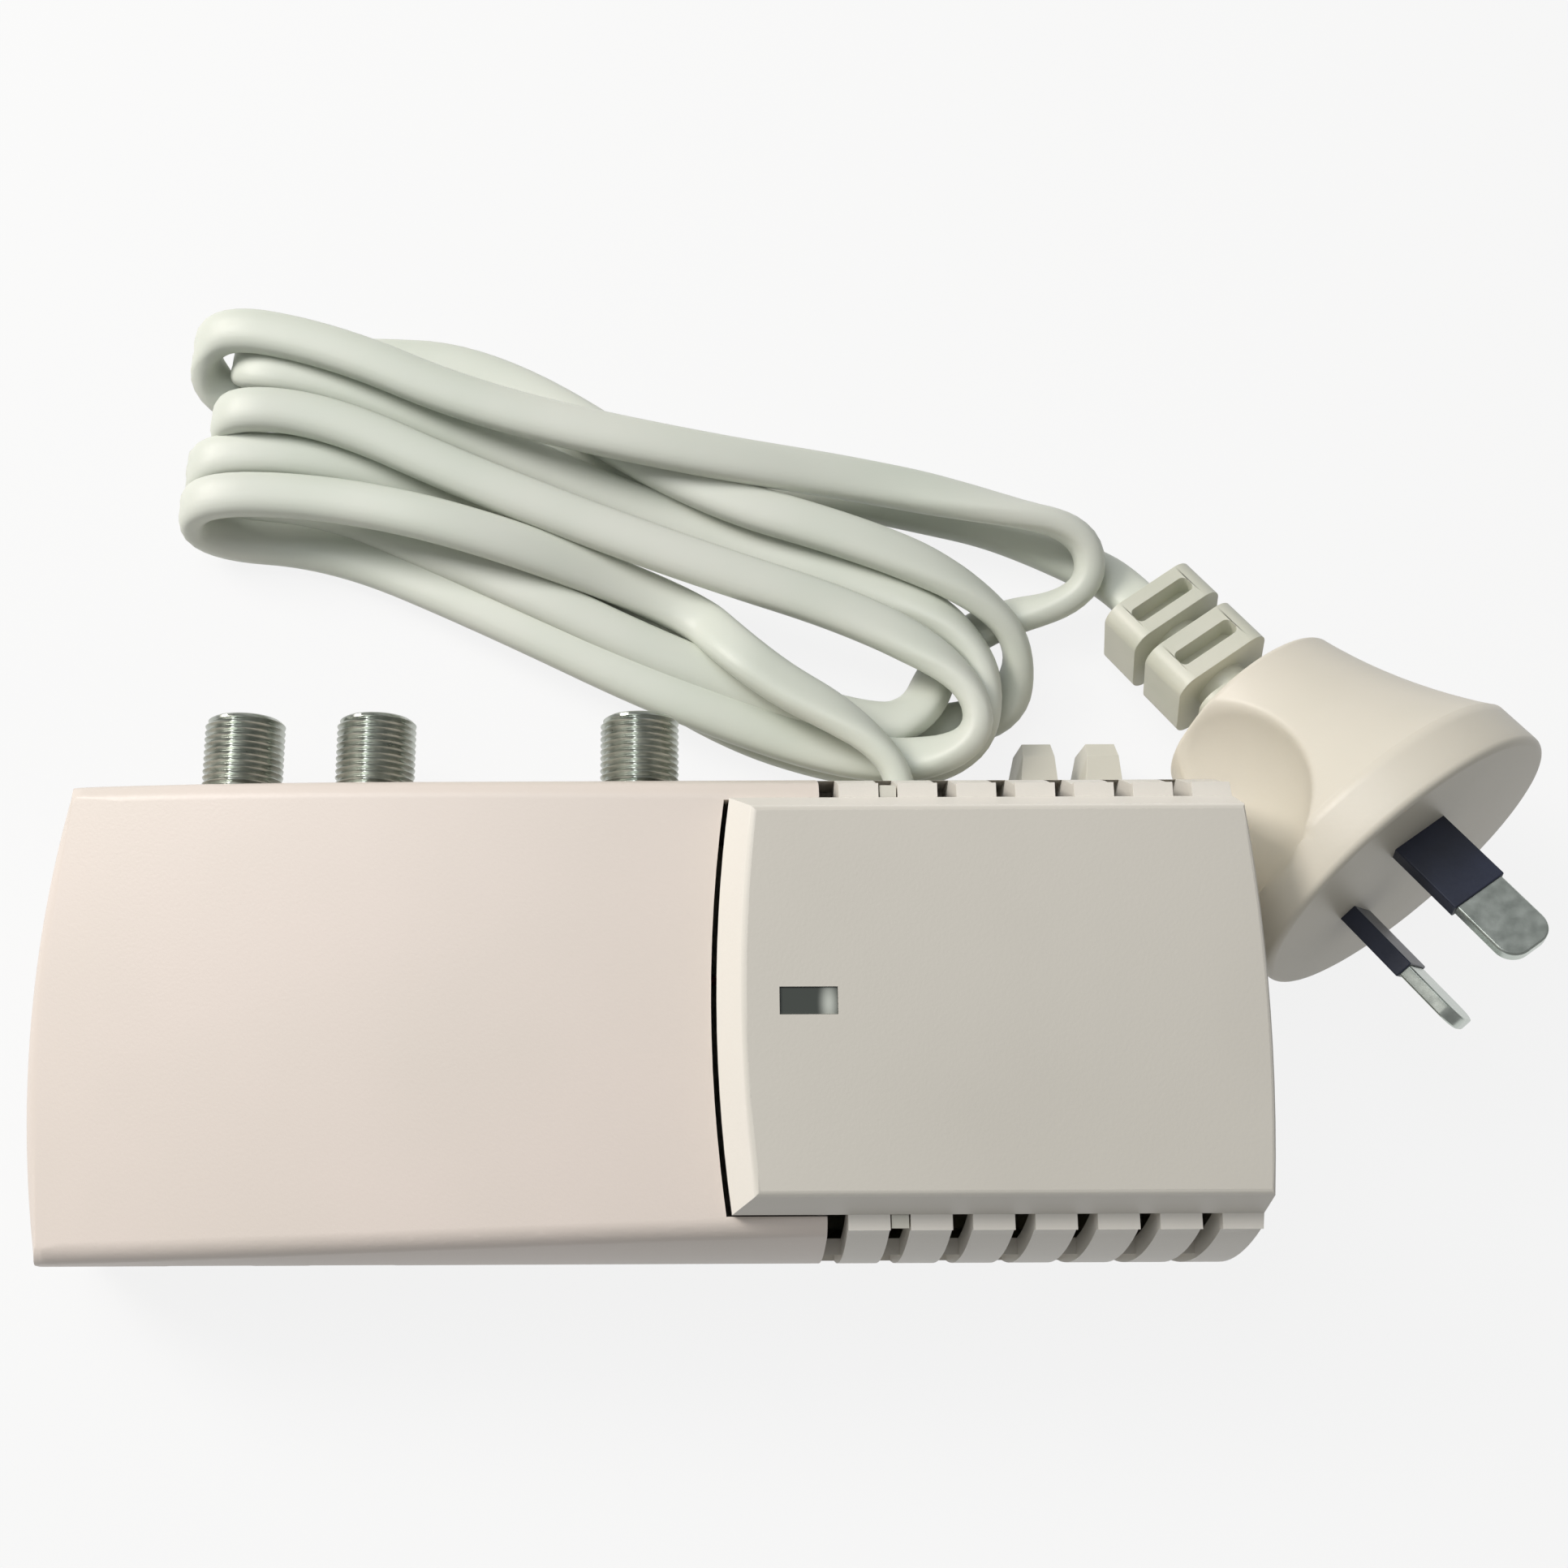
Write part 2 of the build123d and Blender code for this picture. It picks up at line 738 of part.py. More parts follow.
# Left-hand cover with the socket holes and the two trimmer windows
with BuildPart() as main_cover:
    add(arched_block(0, seam_height))
    crest = main_cover.faces().sort_by(Axis.Z)[-1]
    outer_edges = crest.edges().filter_by(lambda edge: edge.center().X < seam_x - overrun)
    fillet(outer_edges, arch_fillet)
    add(room_around_bosses(arched_block(wall, seam_height - overrun), screw_places[:2]), mode=Mode.SUBTRACT)
    # The lid of the mains cover lies between the two strips that reach back to the seam
    add(lid_region(-cover_gap, -seam_clearance, seam_height - overrun), mode=Mode.SUBTRACT)
    # Sockets drop into open-ended slots when the cover goes on
    with BuildSketch(Plane.XZ.offset(-half_width - overrun)):
        with Locations(*[(x, port_height) for x in port_xs]):
            Circle(port_radius)
    extrude(amount=2 * wall + overrun, mode=Mode.SUBTRACT)
    with BuildSketch(Plane.XZ.offset(half_width + overrun)):
        with Locations(*[(x, trimmer_height) for x in trimmer_xs]):
            Rectangle(trimmer_window_width, trimmer_window_height)
    extrude(amount=-2 * wall - overrun, mode=Mode.SUBTRACT)
    with BuildSketch(Plane.XY.offset(seam_height)):
        with Locations(*screw_places[:2]):
            Circle(screw_radius + screw_clearance)
    extrude(amount=screw_tip - seam_height + screw_end_gap, mode=Mode.SUBTRACT)
finish(main_cover, "main_cover")

# Mains cover with its raised lid, slanted edges and vent slots
with BuildPart() as psu_cover:
    add(lid_block(0, seam_height))
    add(room_around_bosses(lid_block(wall, seam_height - overrun), screw_places[2:]), mode=Mode.SUBTRACT)
    for sign in (1, -1):
        # Through slots from the ledge down, then a shallow groove in the wall below each of them
        slot_inner_y = shoulder_width / 2 - wall - seam_clearance
        with BuildSketch(Plane.XY.offset(slot_through_bottom)):
            with Locations(*[(x, sign * (slot_inner_y + wall)) for x in slot_xs]):
                Rectangle(slot_width, 2 * wall)
        extrude(amount=ledge_height - slot_through_bottom, mode=Mode.SUBTRACT)
        with BuildSketch(Plane.XY.offset(slot_groove_bottom)):
            with Locations(*[(x, sign * (half_width - groove_depth + wall / 2)) for x in slot_xs]):
                Rectangle(slot_width, wall)
        extrude(amount=slot_through_bottom - slot_groove_bottom, mode=Mode.SUBTRACT)
    with BuildSketch(Plane.XY.offset(case_height)):
        with Locations((window_x, window_y)):
            Rectangle(window_length + 2 * window_clearance, window_width + 2 * window_clearance)
    extrude(amount=-2 * wall, mode=Mode.SUBTRACT)
    # Notch for the cord, open at the seam and rounded at the top
    with BuildSketch(Plane.XZ.offset(-half_width - overrun)):
        with Locations((cord_x, cord_height)):
            Circle(cord_notch_width / 2)
        with Locations((cord_x, (cord_height + seam_height - overrun) / 2)):
            Rectangle(cord_notch_width, cord_height - seam_height + overrun)
    extrude(amount=2 * wall + overrun, mode=Mode.SUBTRACT)
    with BuildSketch(Plane.XY.offset(seam_height)):
        with Locations(*screw_places[2:]):
            Circle(screw_radius + screw_clearance)
    extrude(amount=screw_tip - seam_height + screw_end_gap, mode=Mode.SUBTRACT)
finish(psu_cover, "psu_cover")

# Smoked window over the indicator, with a flange behind the lid
with BuildPart() as led_window:
    with BuildSketch(Plane.XY.offset(case_height - wall)):
        with Locations((window_x, window_y)):
            Rectangle(window_length, window_width)
    extrude(amount=wall - window_sink)
    with BuildSketch(Plane.XY.offset(case_height - wall)):
        with Locations((window_x, window_y)):
            Rectangle(window_length + 2 * window_flange, window_width + 2 * window_flange)
    extrude(amount=-window_flange_thickness)
finish(led_window, "led_window")

# Screening box: an open-topped tray of sheet metal with holes for the sockets and the trimmers
with BuildPart() as rf_chassis:
    with BuildSketch(Plane.XY.offset(chassis_bottom)):
        with Locations((chassis_x, chassis_y)):
            Rectangle(chassis_length, chassis_depth)
    extrude(amount=chassis_top - chassis_bottom)
    offset(amount=-chassis_wall, openings=rf_chassis.faces().sort_by(Axis.Z)[-1], mode=Mode.REPLACE)
    with BuildSketch(Plane.XZ.offset(-chassis_rear_y - overrun)):
        with Locations(*[(x, port_height) for x in fitted_port_xs]):
            Circle(tail_radius + tail_clearance)
    extrude(amount=chassis_wall + 2 * overrun, mode=Mode.SUBTRACT)
    with BuildSketch(Plane.XZ.offset(-chassis_front_y - overrun)):
        with Locations(*[(x, trimmer_height) for x in trimmer_xs]):
            Circle(rotor_radius + chassis_wall)
    extrude(amount=chassis_wall + 2 * overrun, mode=Mode.SUBTRACT)
    with BuildSketch(Plane.YZ.offset(chassis_right_x - chassis_wall - overrun)):
        with Locations((feedthrough_y, feedthrough_height)):
            Circle(feedthrough_radius + tail_clearance)
    extrude(amount=chassis_wall + 2 * overrun, mode=Mode.SUBTRACT)
    # Ledge pads that carry the board
    with BuildSketch(Plane.XY.offset(chassis_bottom + chassis_wall)):
        with Locations((chassis_x, chassis_y)):
            with GridLocations(rf_board_length - 2 * post_inset, rf_board_width - 2 * post_inset, 2, 2):
                Circle(post_radius)
    extrude(amount=rf_board_bottom - chassis_bottom - chassis_wall)
finish(rf_chassis, "rf_chassis")

# Lid of the screening box, with a lip that hooks down inside the walls
with BuildPart() as rf_chassis_lid:
    with BuildSketch(Plane.XY.offset(chassis_top)):
        with Locations((chassis_x, chassis_y)):
            Rectangle(chassis_length, chassis_depth)
    extrude(amount=chassis_lid_thickness)
    with BuildSketch(Plane.XY.offset(chassis_top)):
        with Locations((chassis_x, chassis_y)):
            Rectangle(
                chassis_length - 2 * chassis_wall - 2 * tail_clearance,
                chassis_depth - 2 * chassis_wall - 2 * tail_clearance,
            )
            Rectangle(
                chassis_length - 2 * chassis_wall - 2 * tail_clearance - 2 * chassis_lid_thickness,
                chassis_depth - 2 * chassis_wall - 2 * tail_clearance - 2 * chassis_lid_thickness,
                mode=Mode.SUBTRACT,
            )
    extrude(amount=-chassis_lip)
finish(rf_chassis_lid, "rf_chassis_lid")

# Aerial sockets: body, insulator and centre contact, each its own piece
for name, x in zip(socket_names, fitted_port_xs):
    with BuildPart() as socket_body:
        with BuildSketch(Plane.XZ.offset(-chassis_rear_y)):
            with Locations((x, port_height)):
                RegularPolygon(nut_across_flats / 2, 6, major_radius=False)
        extrude(amount=-nut_thickness)
        with BuildSketch(Plane.XZ.offset(-chassis_rear_y - nut_thickness)):
            with Locations((x, port_height)):
                Circle(neck_radius)
        extrude(amount=-(socket_tip_y - thread_length - chassis_rear_y - nut_thickness))
        with BuildSketch(Plane.XZ.offset(thread_length - socket_tip_y)):
            with Locations((x, port_height)):
                Circle(thread_radius)
        extrude(amount=-thread_length)
        tip = socket_body.faces().sort_by(Axis.Y)[-1]
        chamfer(tip.edges(), thread_chamfer)
        with BuildSketch(Plane.XZ.offset(-chassis_rear_y)):
            with Locations((x, port_height)):
                Circle(tail_radius)
        extrude(amount=tail_length)
        with BuildSketch(Plane.XZ.offset(tail_length - chassis_rear_y)):
            with Locations((x, port_height)):
                Circle(socket_bore_radius - tail_wall)
        extrude(amount=-(socket_tip_y - chassis_rear_y + tail_length + overrun), mode=Mode.SUBTRACT)
        with BuildSketch(Plane.XZ.offset(-socket_tip_y + insulator_recess + insulator_length)):
            with Locations((x, port_height)):
                Circle(socket_bore_radius)
        extrude(amount=-(insulator_recess + insulator_length + overrun), mode=Mode.SUBTRACT)
    finish(socket_body, f"{name}_socket_body")

    with BuildPart() as socket_insulator:
        with BuildSketch(Plane.XZ.offset(insulator_recess - socket_tip_y)):
            with Locations((x, port_height)):
                Circle(socket_bore_radius)
                Circle(contact_bore_radius, mode=Mode.SUBTRACT)
        extrude(amount=insulator_face)
        with BuildSketch(Plane.XZ.offset(insulator_recess + insulator_face - socket_tip_y)):
            with Locations((x, port_height)):
                Circle(socket_bore_radius)
                Circle(contact_radius, mode=Mode.SUBTRACT)
        extrude(amount=insulator_length - insulator_face)
    finish(socket_insulator, f"{name}_socket_insulator")

    # The contact runs from behind the insulator's face back to the board
    with BuildPart() as socket_contact:
        with BuildSketch(Plane.XZ.offset(insulator_recess + insulator_face - socket_tip_y)):
            with Locations((x, port_height)):
                Circle(contact_radius)
        extrude(amount=contact_length)
    finish(socket_contact, f"{name}_socket_contact")

# Amplifier board
with BuildPart() as rf_board:
    with BuildSketch(Plane.XY.offset(rf_board_bottom)):
        with Locations((chassis_x, chassis_y)):
            Rectangle(rf_board_length, rf_board_width)
    extrude(amount=board_thickness)
finish(rf_board, "rf_board")

# Coils and screened filters on the amplifier board, one row of each
with BuildPart() as rf_coils:
    with BuildSketch(Plane.XY.offset(rf_board_top)):
        with Locations((chassis_x, chassis_y - parts_row)):
            with GridLocations(parts_pitch, 0, coil_count, 1):
                Circle(coil_radius)
                Circle(coil_bore_radius, mode=Mode.SUBTRACT)
    extrude(amount=coil_height)
finish(rf_coils, "rf_coils")

with BuildPart() as filter_cans:
    with BuildSketch(Plane.XY.offset(rf_board_top)):
        with Locations((chassis_x, chassis_y + parts_row)):
            with GridLocations(parts_pitch, 0, coil_count, 1):
                Rectangle(filter_can_length, filter_can_width)
    extrude(amount=filter_can_height)
    fillet(filter_cans.edges().filter_by(Axis.Z), filter_can_corner)
finish(filter_cans, "filter_cans")

# Gain trimmers: a housing on the board and a slotted rotor that a screwdriver turns
for name, x in zip(trimmer_names, trimmer_xs):
    with BuildPart() as trimmer_housing:
        with BuildSketch(Plane.XY.offset(rf_board_top)):
            with Locations((x, rf_board_front_y + trimmer_depth / 2)):
                Rectangle(trimmer_width, trimmer_depth)
        extrude(amount=trimmer_height - rf_board_top + trimmer_width / 2 - trimmer_drop)
        fillet(trimmer_housing.edges().filter_by(Axis.Y).group_by(Axis.Z)[-1], filter_can_corner)
        with BuildSketch(Plane.XZ.offset(-rf_board_front_y)):
            with Locations((x, trimmer_height)):
                Circle(rotor_shaft_radius + rotor_running_clearance)
        extrude(amount=-(rotor_shaft_length + rotor_gap), mode=Mode.SUBTRACT)
    finish(trimmer_housing, f"{name}_gain_trimmer")

    with BuildPart() as trimmer_rotor:
        with BuildSketch(Plane.XZ.offset(-rf_board_front_y + rotor_gap)):
            with Locations((x, trimmer_height)):
                Circle(rotor_radius)
        extrude(amount=rotor_thickness)
        with BuildSketch(Plane.XZ.offset(-rf_board_front_y + rotor_gap)):
            with Locations((x, trimmer_height)):
                Circle(rotor_shaft_radius)
        extrude(amount=-(rotor_shaft_length + rotor_gap - rotor_running_clearance))
        with BuildSketch(Plane.XZ.offset(-rf_board_front_y + rotor_gap + rotor_thickness)):
            with Locations((x, trimmer_height)):
                Rectangle(rotor_slot_width, rotor_slot_length)
        extrude(amount=-rotor_slot_depth, mode=Mode.SUBTRACT)
    finish(trimmer_rotor, f"{name}_gain_rotor")

# Feed-through that brings the supply into the screening box, and the wire to it
feedthrough_y_plane = Plane.YZ.offset(chassis_right_x - feedthrough_length)
with BuildPart() as feedthrough:
    with BuildSketch(feedthrough_y_plane):
        with Locations((feedthrough_y, feedthrough_height)):
            Circle(feedthrough_radius)
    extrude(amount=2 * feedthrough_length)
    with BuildSketch(Plane.YZ.offset(chassis_right_x)):
        with Locations((feedthrough_y, feedthrough_height)):
            Circle(feedthrough_radius + chassis_wall)
    extrude(amount=chassis_wall)
finish(feedthrough, "feedthrough")

link_start = chassis_right_x + feedthrough_length
link_foot_x = psu_board_left_x + link_bend_radius + link_radius
with BuildPart() as supply_link:
    with BuildLine() as link_line:
        FilletPolyline(
            (link_start, feedthrough_y, feedthrough_height),
            (link_foot_x, feedthrough_y, feedthrough_height),
            (link_foot_x, feedthrough_y, psu_board_top),
            radius=link_bend_radius,
        )
    with BuildSketch(Plane(link_line.line @ 0, z_dir=link_line.line % 0)):
        Circle(link_radius)
    sweep()
finish(supply_link, "supply_link")

# Mains board on its posts
with BuildPart() as psu_board:
    with BuildSketch(Plane.XY.offset(psu_board_bottom)):
        with Locations((psu_board_x, 0)):
            Rectangle(psu_board_length, psu_board_width)
    extrude(amount=board_thickness)
finish(psu_board, "psu_board")

# Transformer: laminated core, bobbin round its middle leg and the winding between the bobbin's flanges
core_bottom = psu_board_top
core_plane = Plane.XZ.offset(-core_y - core_thickness / 2)
core_z = core_bottom + core_height / 2
window_span = (core_width - leg_width) / 2 - outer_leg_width
core_window_height = core_height - 2 * yoke_height
with BuildPart() as transformer_core:
    with BuildSketch(core_plane):
        with Locations((core_x, core_z)):
            Rectangle(core_width, core_height)
            with Locations((leg_width / 2 + window_span / 2, 0), (-leg_width / 2 - window_span / 2, 0)):
                Rectangle(window_span, core_window_height, mode=Mode.SUBTRACT)
    extrude(amount=core_thickness)
finish(transformer_core, "transformer_core")

spool_x = leg_width + 2 * coil_clearance
spool_y = core_thickness + 2 * coil_clearance
coil_x = leg_width + 2 * window_span - 2 * coil_clearance
coil_y = core_thickness + 2 * coil_overhang
spool_bottom = core_z - core_window_height / 2 + coil_clearance
spool_height = core_window_height - 2 * coil_clearance
with BuildPart() as transformer_bobbin:
    with BuildSketch(Plane.XY.offset(spool_bottom)):
        with Locations((core_x, core_y)):
            Rectangle(spool_x + 2 * bobbin_wall, spool_y + 2 * bobbin_wall)
    extrude(amount=spool_height)
    for flange_bottom in (spool_bottom, spool_bottom + spool_height - bobbin_wall):
        with BuildSketch(Plane.XY.offset(flange_bottom)):
            with Locations((core_x, core_y)):
                Rectangle(coil_x, coil_y)
        extrude(amount=bobbin_wall)
    with BuildSketch(Plane.XY.offset(spool_bottom)):
        with Locations((core_x, core_y)):
            Rectangle(spool_x, spool_y)
    extrude(amount=spool_height, mode=Mode.SUBTRACT)
finish(transformer_bobbin, "transformer_bobbin")

with BuildPart() as transformer_winding:
    with BuildSketch(Plane.XY.offset(spool_bottom + bobbin_wall)):
        with Locations((core_x, core_y)):
            RectangleRounded(coil_x - 2 * coil_clearance, coil_y - 2 * bobbin_wall, coil_corner)
            Rectangle(spool_x + 2 * bobbin_wall, spool_y + 2 * bobbin_wall, mode=Mode.SUBTRACT)
    extrude(amount=spool_height - 2 * bobbin_wall)
finish(transformer_winding, "transformer_winding")

# Smoothing capacitor: a can with a rolled groove near its foot
with BuildPart() as smoothing_capacitor:
    with BuildSketch(Plane.XZ):
        with BuildLine():
            Polyline(
                (0, 0),
                (capacitor_radius, 0),
                (capacitor_radius, capacitor_groove),
                (capacitor_radius - capacitor_groove, 2 * capacitor_groove),
                (capacitor_radius, 3 * capacitor_groove),
                (capacitor_radius, capacitor_length - capacitor_groove),
                (capacitor_radius - capacitor_groove, capacitor_length),
                (0, capacitor_length),
                (0, 0),
            )
        make_face()
    revolve(axis=Axis.Z)
smoothing_capacitor.part.position = (capacitor_x, capacitor_y, psu_board_top)
finish(smoothing_capacitor, "smoothing_capacitor")

# Voltage regulator: moulded body, metal tab behind it and three legs
with BuildPart() as regulator:
    body_bottom = psu_board_top + regulator_stand
    with BuildSketch(Plane.XY.offset(body_bottom)):
        with Locations((regulator_x, regulator_y)):
            Rectangle(regulator_width, regulator_thickness)
    extrude(amount=regulator_height - regulator_tab_height)
    with BuildSketch(Plane.XY.offset(body_bottom)):
        with Locations((regulator_x, regulator_y + regulator_thickness / 2 - regulator_tab / 2)):
            Rectangle(regulator_width, regulator_tab)
    extrude(amount=regulator_height)
    with BuildSketch(Plane.XY.offset(psu_board_top)):
        with Locations((regulator_x, regulator_y)):
            with GridLocations(regulator_width / 4, 0, 3, 1):
                Rectangle(regulator_pin_width, regulator_pin_width / 2)
    extrude(amount=regulator_stand)
finish(regulator, "regulator")

# Rectifier: four small diodes side by side, each on its own bent leads
diode_height = psu_board_top + diode_radius + diode_lift
with BuildPart() as rectifier_diodes:
    for index in range(diode_count):
        y = diode_y + index * diode_pitch
        with BuildSketch(Plane.YZ.offset(diode_x - diode_length / 2)):
            with Locations((y, diode_height)):
                Circle(diode_radius)
        extrude(amount=diode_length)
        for sign in (1, -1):
            foot_x = diode_x + sign * (diode_length / 2 + diode_lead)
            with BuildSketch(Plane.XY.offset(psu_board_top)):
                with Locations((foot_x, y)):
                    Rectangle(diode_lead_width, diode_lead_width)
            extrude(amount=diode_height - psu_board_top + diode_lead_width / 2)
            with BuildSketch(Plane.XY.offset(diode_height - diode_lead_width / 2)):
                with Locations((foot_x - sign * diode_lead / 2, y)):
                    Rectangle(diode_lead + diode_lead_width, diode_lead_width)
            extrude(amount=diode_lead_width)
finish(rectifier_diodes, "rectifier_diodes")

# Fuse between two spring clips
fuse_plane = Plane.YZ.offset(fuse_x - fuse_length / 2)
with BuildPart() as fuse_tube:
    with BuildSketch(fuse_plane.offset(fuse_cap_length)):
        with Locations((fuse_y, fuse_axis_height)):
            Circle(fuse_radius - fuse_clearance)
    extrude(amount=fuse_length - 2 * fuse_cap_length)
finish(fuse_tube, "fuse_tube")

with BuildPart() as fuse_caps:
    for start in (0, fuse_length - fuse_cap_length):
        with BuildSketch(fuse_plane.offset(start)):
            with Locations((fuse_y, fuse_axis_height)):
                Circle(fuse_radius)
        extrude(amount=fuse_cap_length)
finish(fuse_caps, "fuse_caps")

with BuildPart() as fuse_clips:
    clip_inner = fuse_radius + fuse_clearance
    clip_outer = clip_inner + fuse_clip_thickness
    for start in (0, fuse_length - fuse_cap_length):
        with BuildSketch(fuse_plane.offset(start + (fuse_cap_length - fuse_clip_width) / 2)):
            with Locations((fuse_y, fuse_axis_height)):
                Circle(clip_outer)
                Circle(clip_inner, mode=Mode.SUBTRACT)
                with Locations((0, clip_outer)):
                    Rectangle(2 * clip_inner, 2 * clip_outer, mode=Mode.SUBTRACT)
            with Locations((fuse_y, (psu_board_top + fuse_axis_height - clip_inner) / 2)):
                Rectangle(fuse_clip_width, fuse_axis_height - clip_inner - psu_board_top)
        extrude(amount=fuse_clip_width)
finish(fuse_clips, "fuse_clips")

# Indicator lamp close under the window, on two long leads
led_top = case_height - wall - window_flange_thickness - led_window_gap
with BuildPart() as led:
    with BuildSketch(Plane.XY.offset(led_top - led_length)):
        with Locations((window_x, window_y)):
            Circle(led_radius)
    extrude(amount=led_length)
    fillet(led.edges().group_by(Axis.Z)[-1], led_radius * led_dome_share)
    with BuildSketch(Plane.XY.offset(led_top - led_length)):
        with Locations((window_x, window_y)):
            Circle(led_flange_radius)
    extrude(amount=led_flange_thickness)
finish(led, "led")

with BuildPart() as led_leads:
    with BuildSketch(Plane.XY.offset(psu_board_top)):
        with Locations((window_x, window_y)):
            with GridLocations(0, 2 * led_lead_spacing, 1, 2):
                Rectangle(led_lead_width, led_lead_width)
    extrude(amount=led_top - led_length - psu_board_top)
finish(led_leads, "led_leads")

# Case screws, put in from the back
with BuildPart() as case_screws:
    head_bottom = screw_recess_depth - screw_head_height
    with BuildSketch(Plane.XY.offset(head_bottom)):
        with Locations(*screw_places):
            Circle(screw_head_radius)
    extrude(amount=screw_head_height)
    with BuildSketch(Plane.XY.offset(screw_recess_depth)):
        with Locations(*screw_places):
            Circle(screw_radius)
    extrude(amount=screw_length)
    with BuildSketch(Plane.XY.offset(head_bottom)):
        with Locations(*screw_places):
            Rectangle(screw_drive_length, screw_drive_width)
            Rectangle(screw_drive_width, screw_drive_length)
    extrude(amount=screw_drive_depth, mode=Mode.SUBTRACT)
finish(case_screws, "case_screws")

# Clamp that holds the cord inside the case
with BuildPart() as cord_clamp:
    with BuildSketch(Plane.XZ.offset(clamp_length - clamp_face_y)):
        with Locations((cord_x, (floor_thickness + cord_height + cord_diameter / 2 + clamp_cover) / 2)):
            Rectangle(clamp_width, cord_height + cord_diameter / 2 + clamp_cover - floor_thickness)
    extrude(amount=-clamp_length)
    fillet(cord_clamp.edges().filter_by(Axis.Y).group_by(Axis.Z)[-1], clamp_cover)
finish(cord_clamp, "cord_clamp")

# The two cores of the cord, from the clamp down to the mains board
with BuildPart() as mains_wires:
    for sign in (1, -1):
        x = cord_x + sign * mains_wire_spacing
        back = clamp_face_y - clamp_length
        with BuildLine() as wire_line:
            FilletPolyline(
                (x, back, cord_height),
                (x, back - mains_wire_reach, cord_height),
                (x, back - mains_wire_reach, psu_board_top),
                radius=mains_wire_bend_radius,
            )
        with BuildSketch(Plane(wire_line.line @ 0, z_dir=wire_line.line % 0)):
            Circle(mains_wire_radius)
        sweep()
finish(mains_wires, "mains_wires")

# Cord: from the clamp out of the case, the hank, and the last stretch to the plug
cord_routes = {
    "cord_exit_run": exit_points,
    "cord_hank": hank_route(exit_points[-1], hank_end),
    "cord_plug_run": plug_points,
}
for name, route in cord_routes.items():
    with BuildPart() as cord_piece:
        with BuildLine() as route_line:
            FilletPolyline(*route, radius=tube_radii(route))
        with BuildSketch(Plane(route_line.line @ 0, z_dir=route_line.line % 0)):
            Circle(cord_diameter / 2)
        sweep()
    report_tube(name, cord_piece.part, route_line.line, tube_radii(route))
    if name == "cord_hank":
        print(f"cord_hank: least gap to itself {least_self_gap(route_line.line, hank_apart):.2f} mm")
    finish(cord_piece, name)

# Plug: a round face with a rim, a waisted body with a dished grip on two sides
plug_plane = Plane(face_centre, x_dir=plug_side, z_dir=plug_axis)
with BuildPart() as plug_body:
    with BuildSketch(Plane.XZ):
        with BuildLine():
            Line((0, 0), (face_radius, 0))
            Line((face_radius, 0), (face_radius, -rim_length))
            Line((face_radius, -rim_length), (face_radius - rim_step, -rim_length))
            ThreePointArc(
                (face_radius - rim_step, -rim_length),
                (waist_radius, -body_length * waist_share),
                (rear_radius, -body_length),
            )
            Line((rear_radius, -body_length), (0, -body_length))
            Line((0, -body_length), (0, 0))
        make_face()
    revolve(axis=Axis.Z)
    fillet(plug_body.edges().group_by(Axis.Z)[-1], face_fillet)
    fillet(plug_body.edges().group_by(Axis.Z)[0], rear_fillet)
    with PolarLocations(grip_floor + grip_radius, 2, start_angle=grip_direction):
        with Locations((0, 0, -body_length * grip_place_share)):
            Sphere(grip_radius, mode=Mode.SUBTRACT)
    # Sockets in which the pins are moulded
    with BuildSketch(Plane.XY):
        with PolarLocations(pin_circle_radius, 2, start_angle=pin_start, angular_range=2 * pin_angle):
            Rectangle(pin_thickness + 2 * sleeve_wall, pin_width + 2 * sleeve_wall)
    extrude(amount=-pin_root_depth, mode=Mode.SUBTRACT)
plug_body.part.location = plug_plane.location
finish(plug_body, "plug_body")

# Flat pins with rounded tips, moulded into the body
with BuildPart() as plug_pins:
    with BuildSketch(Plane.XY.offset(-pin_root_depth)):
        with PolarLocations(pin_circle_radius, 2, start_angle=pin_start, angular_range=2 * pin_angle):
            Rectangle(pin_thickness, pin_width)
    extrude(amount=pin_root_depth + pin_length)
    tips = plug_pins.faces().group_by(Axis.Z)[-1]
    for tip in tips:
        long_way = tip.edges().sort_by(Edge.length)[-1] % 0
        corners = [
            edge
            for edge in plug_pins.edges().filter_by(lambda edge: abs((edge % 0).dot(long_way)) < 0.1)
            if edge.center().Z > pin_length - sleeve_wall and (edge.center() - tip.center()).length < pin_width
        ]
        fillet(corners, pin_tip_radius)
plug_pins.part.location = plug_plane.location
finish(plug_pins, "plug_pins")

# Insulating sleeves round the roots of the pins
with BuildPart() as pin_sleeves:
    with BuildSketch(Plane.XY.offset(-pin_root_depth)):
        with PolarLocations(pin_circle_radius, 2, start_angle=pin_start, angular_range=2 * pin_angle):
            Rectangle(pin_thickness + 2 * sleeve_wall, pin_width + 2 * sleeve_wall)
            Rectangle(pin_thickness, pin_width, mode=Mode.SUBTRACT)
    extrude(amount=pin_root_depth + sleeve_length)
pin_sleeves.part.location = plug_plane.location
finish(pin_sleeves, "pin_sleeves")

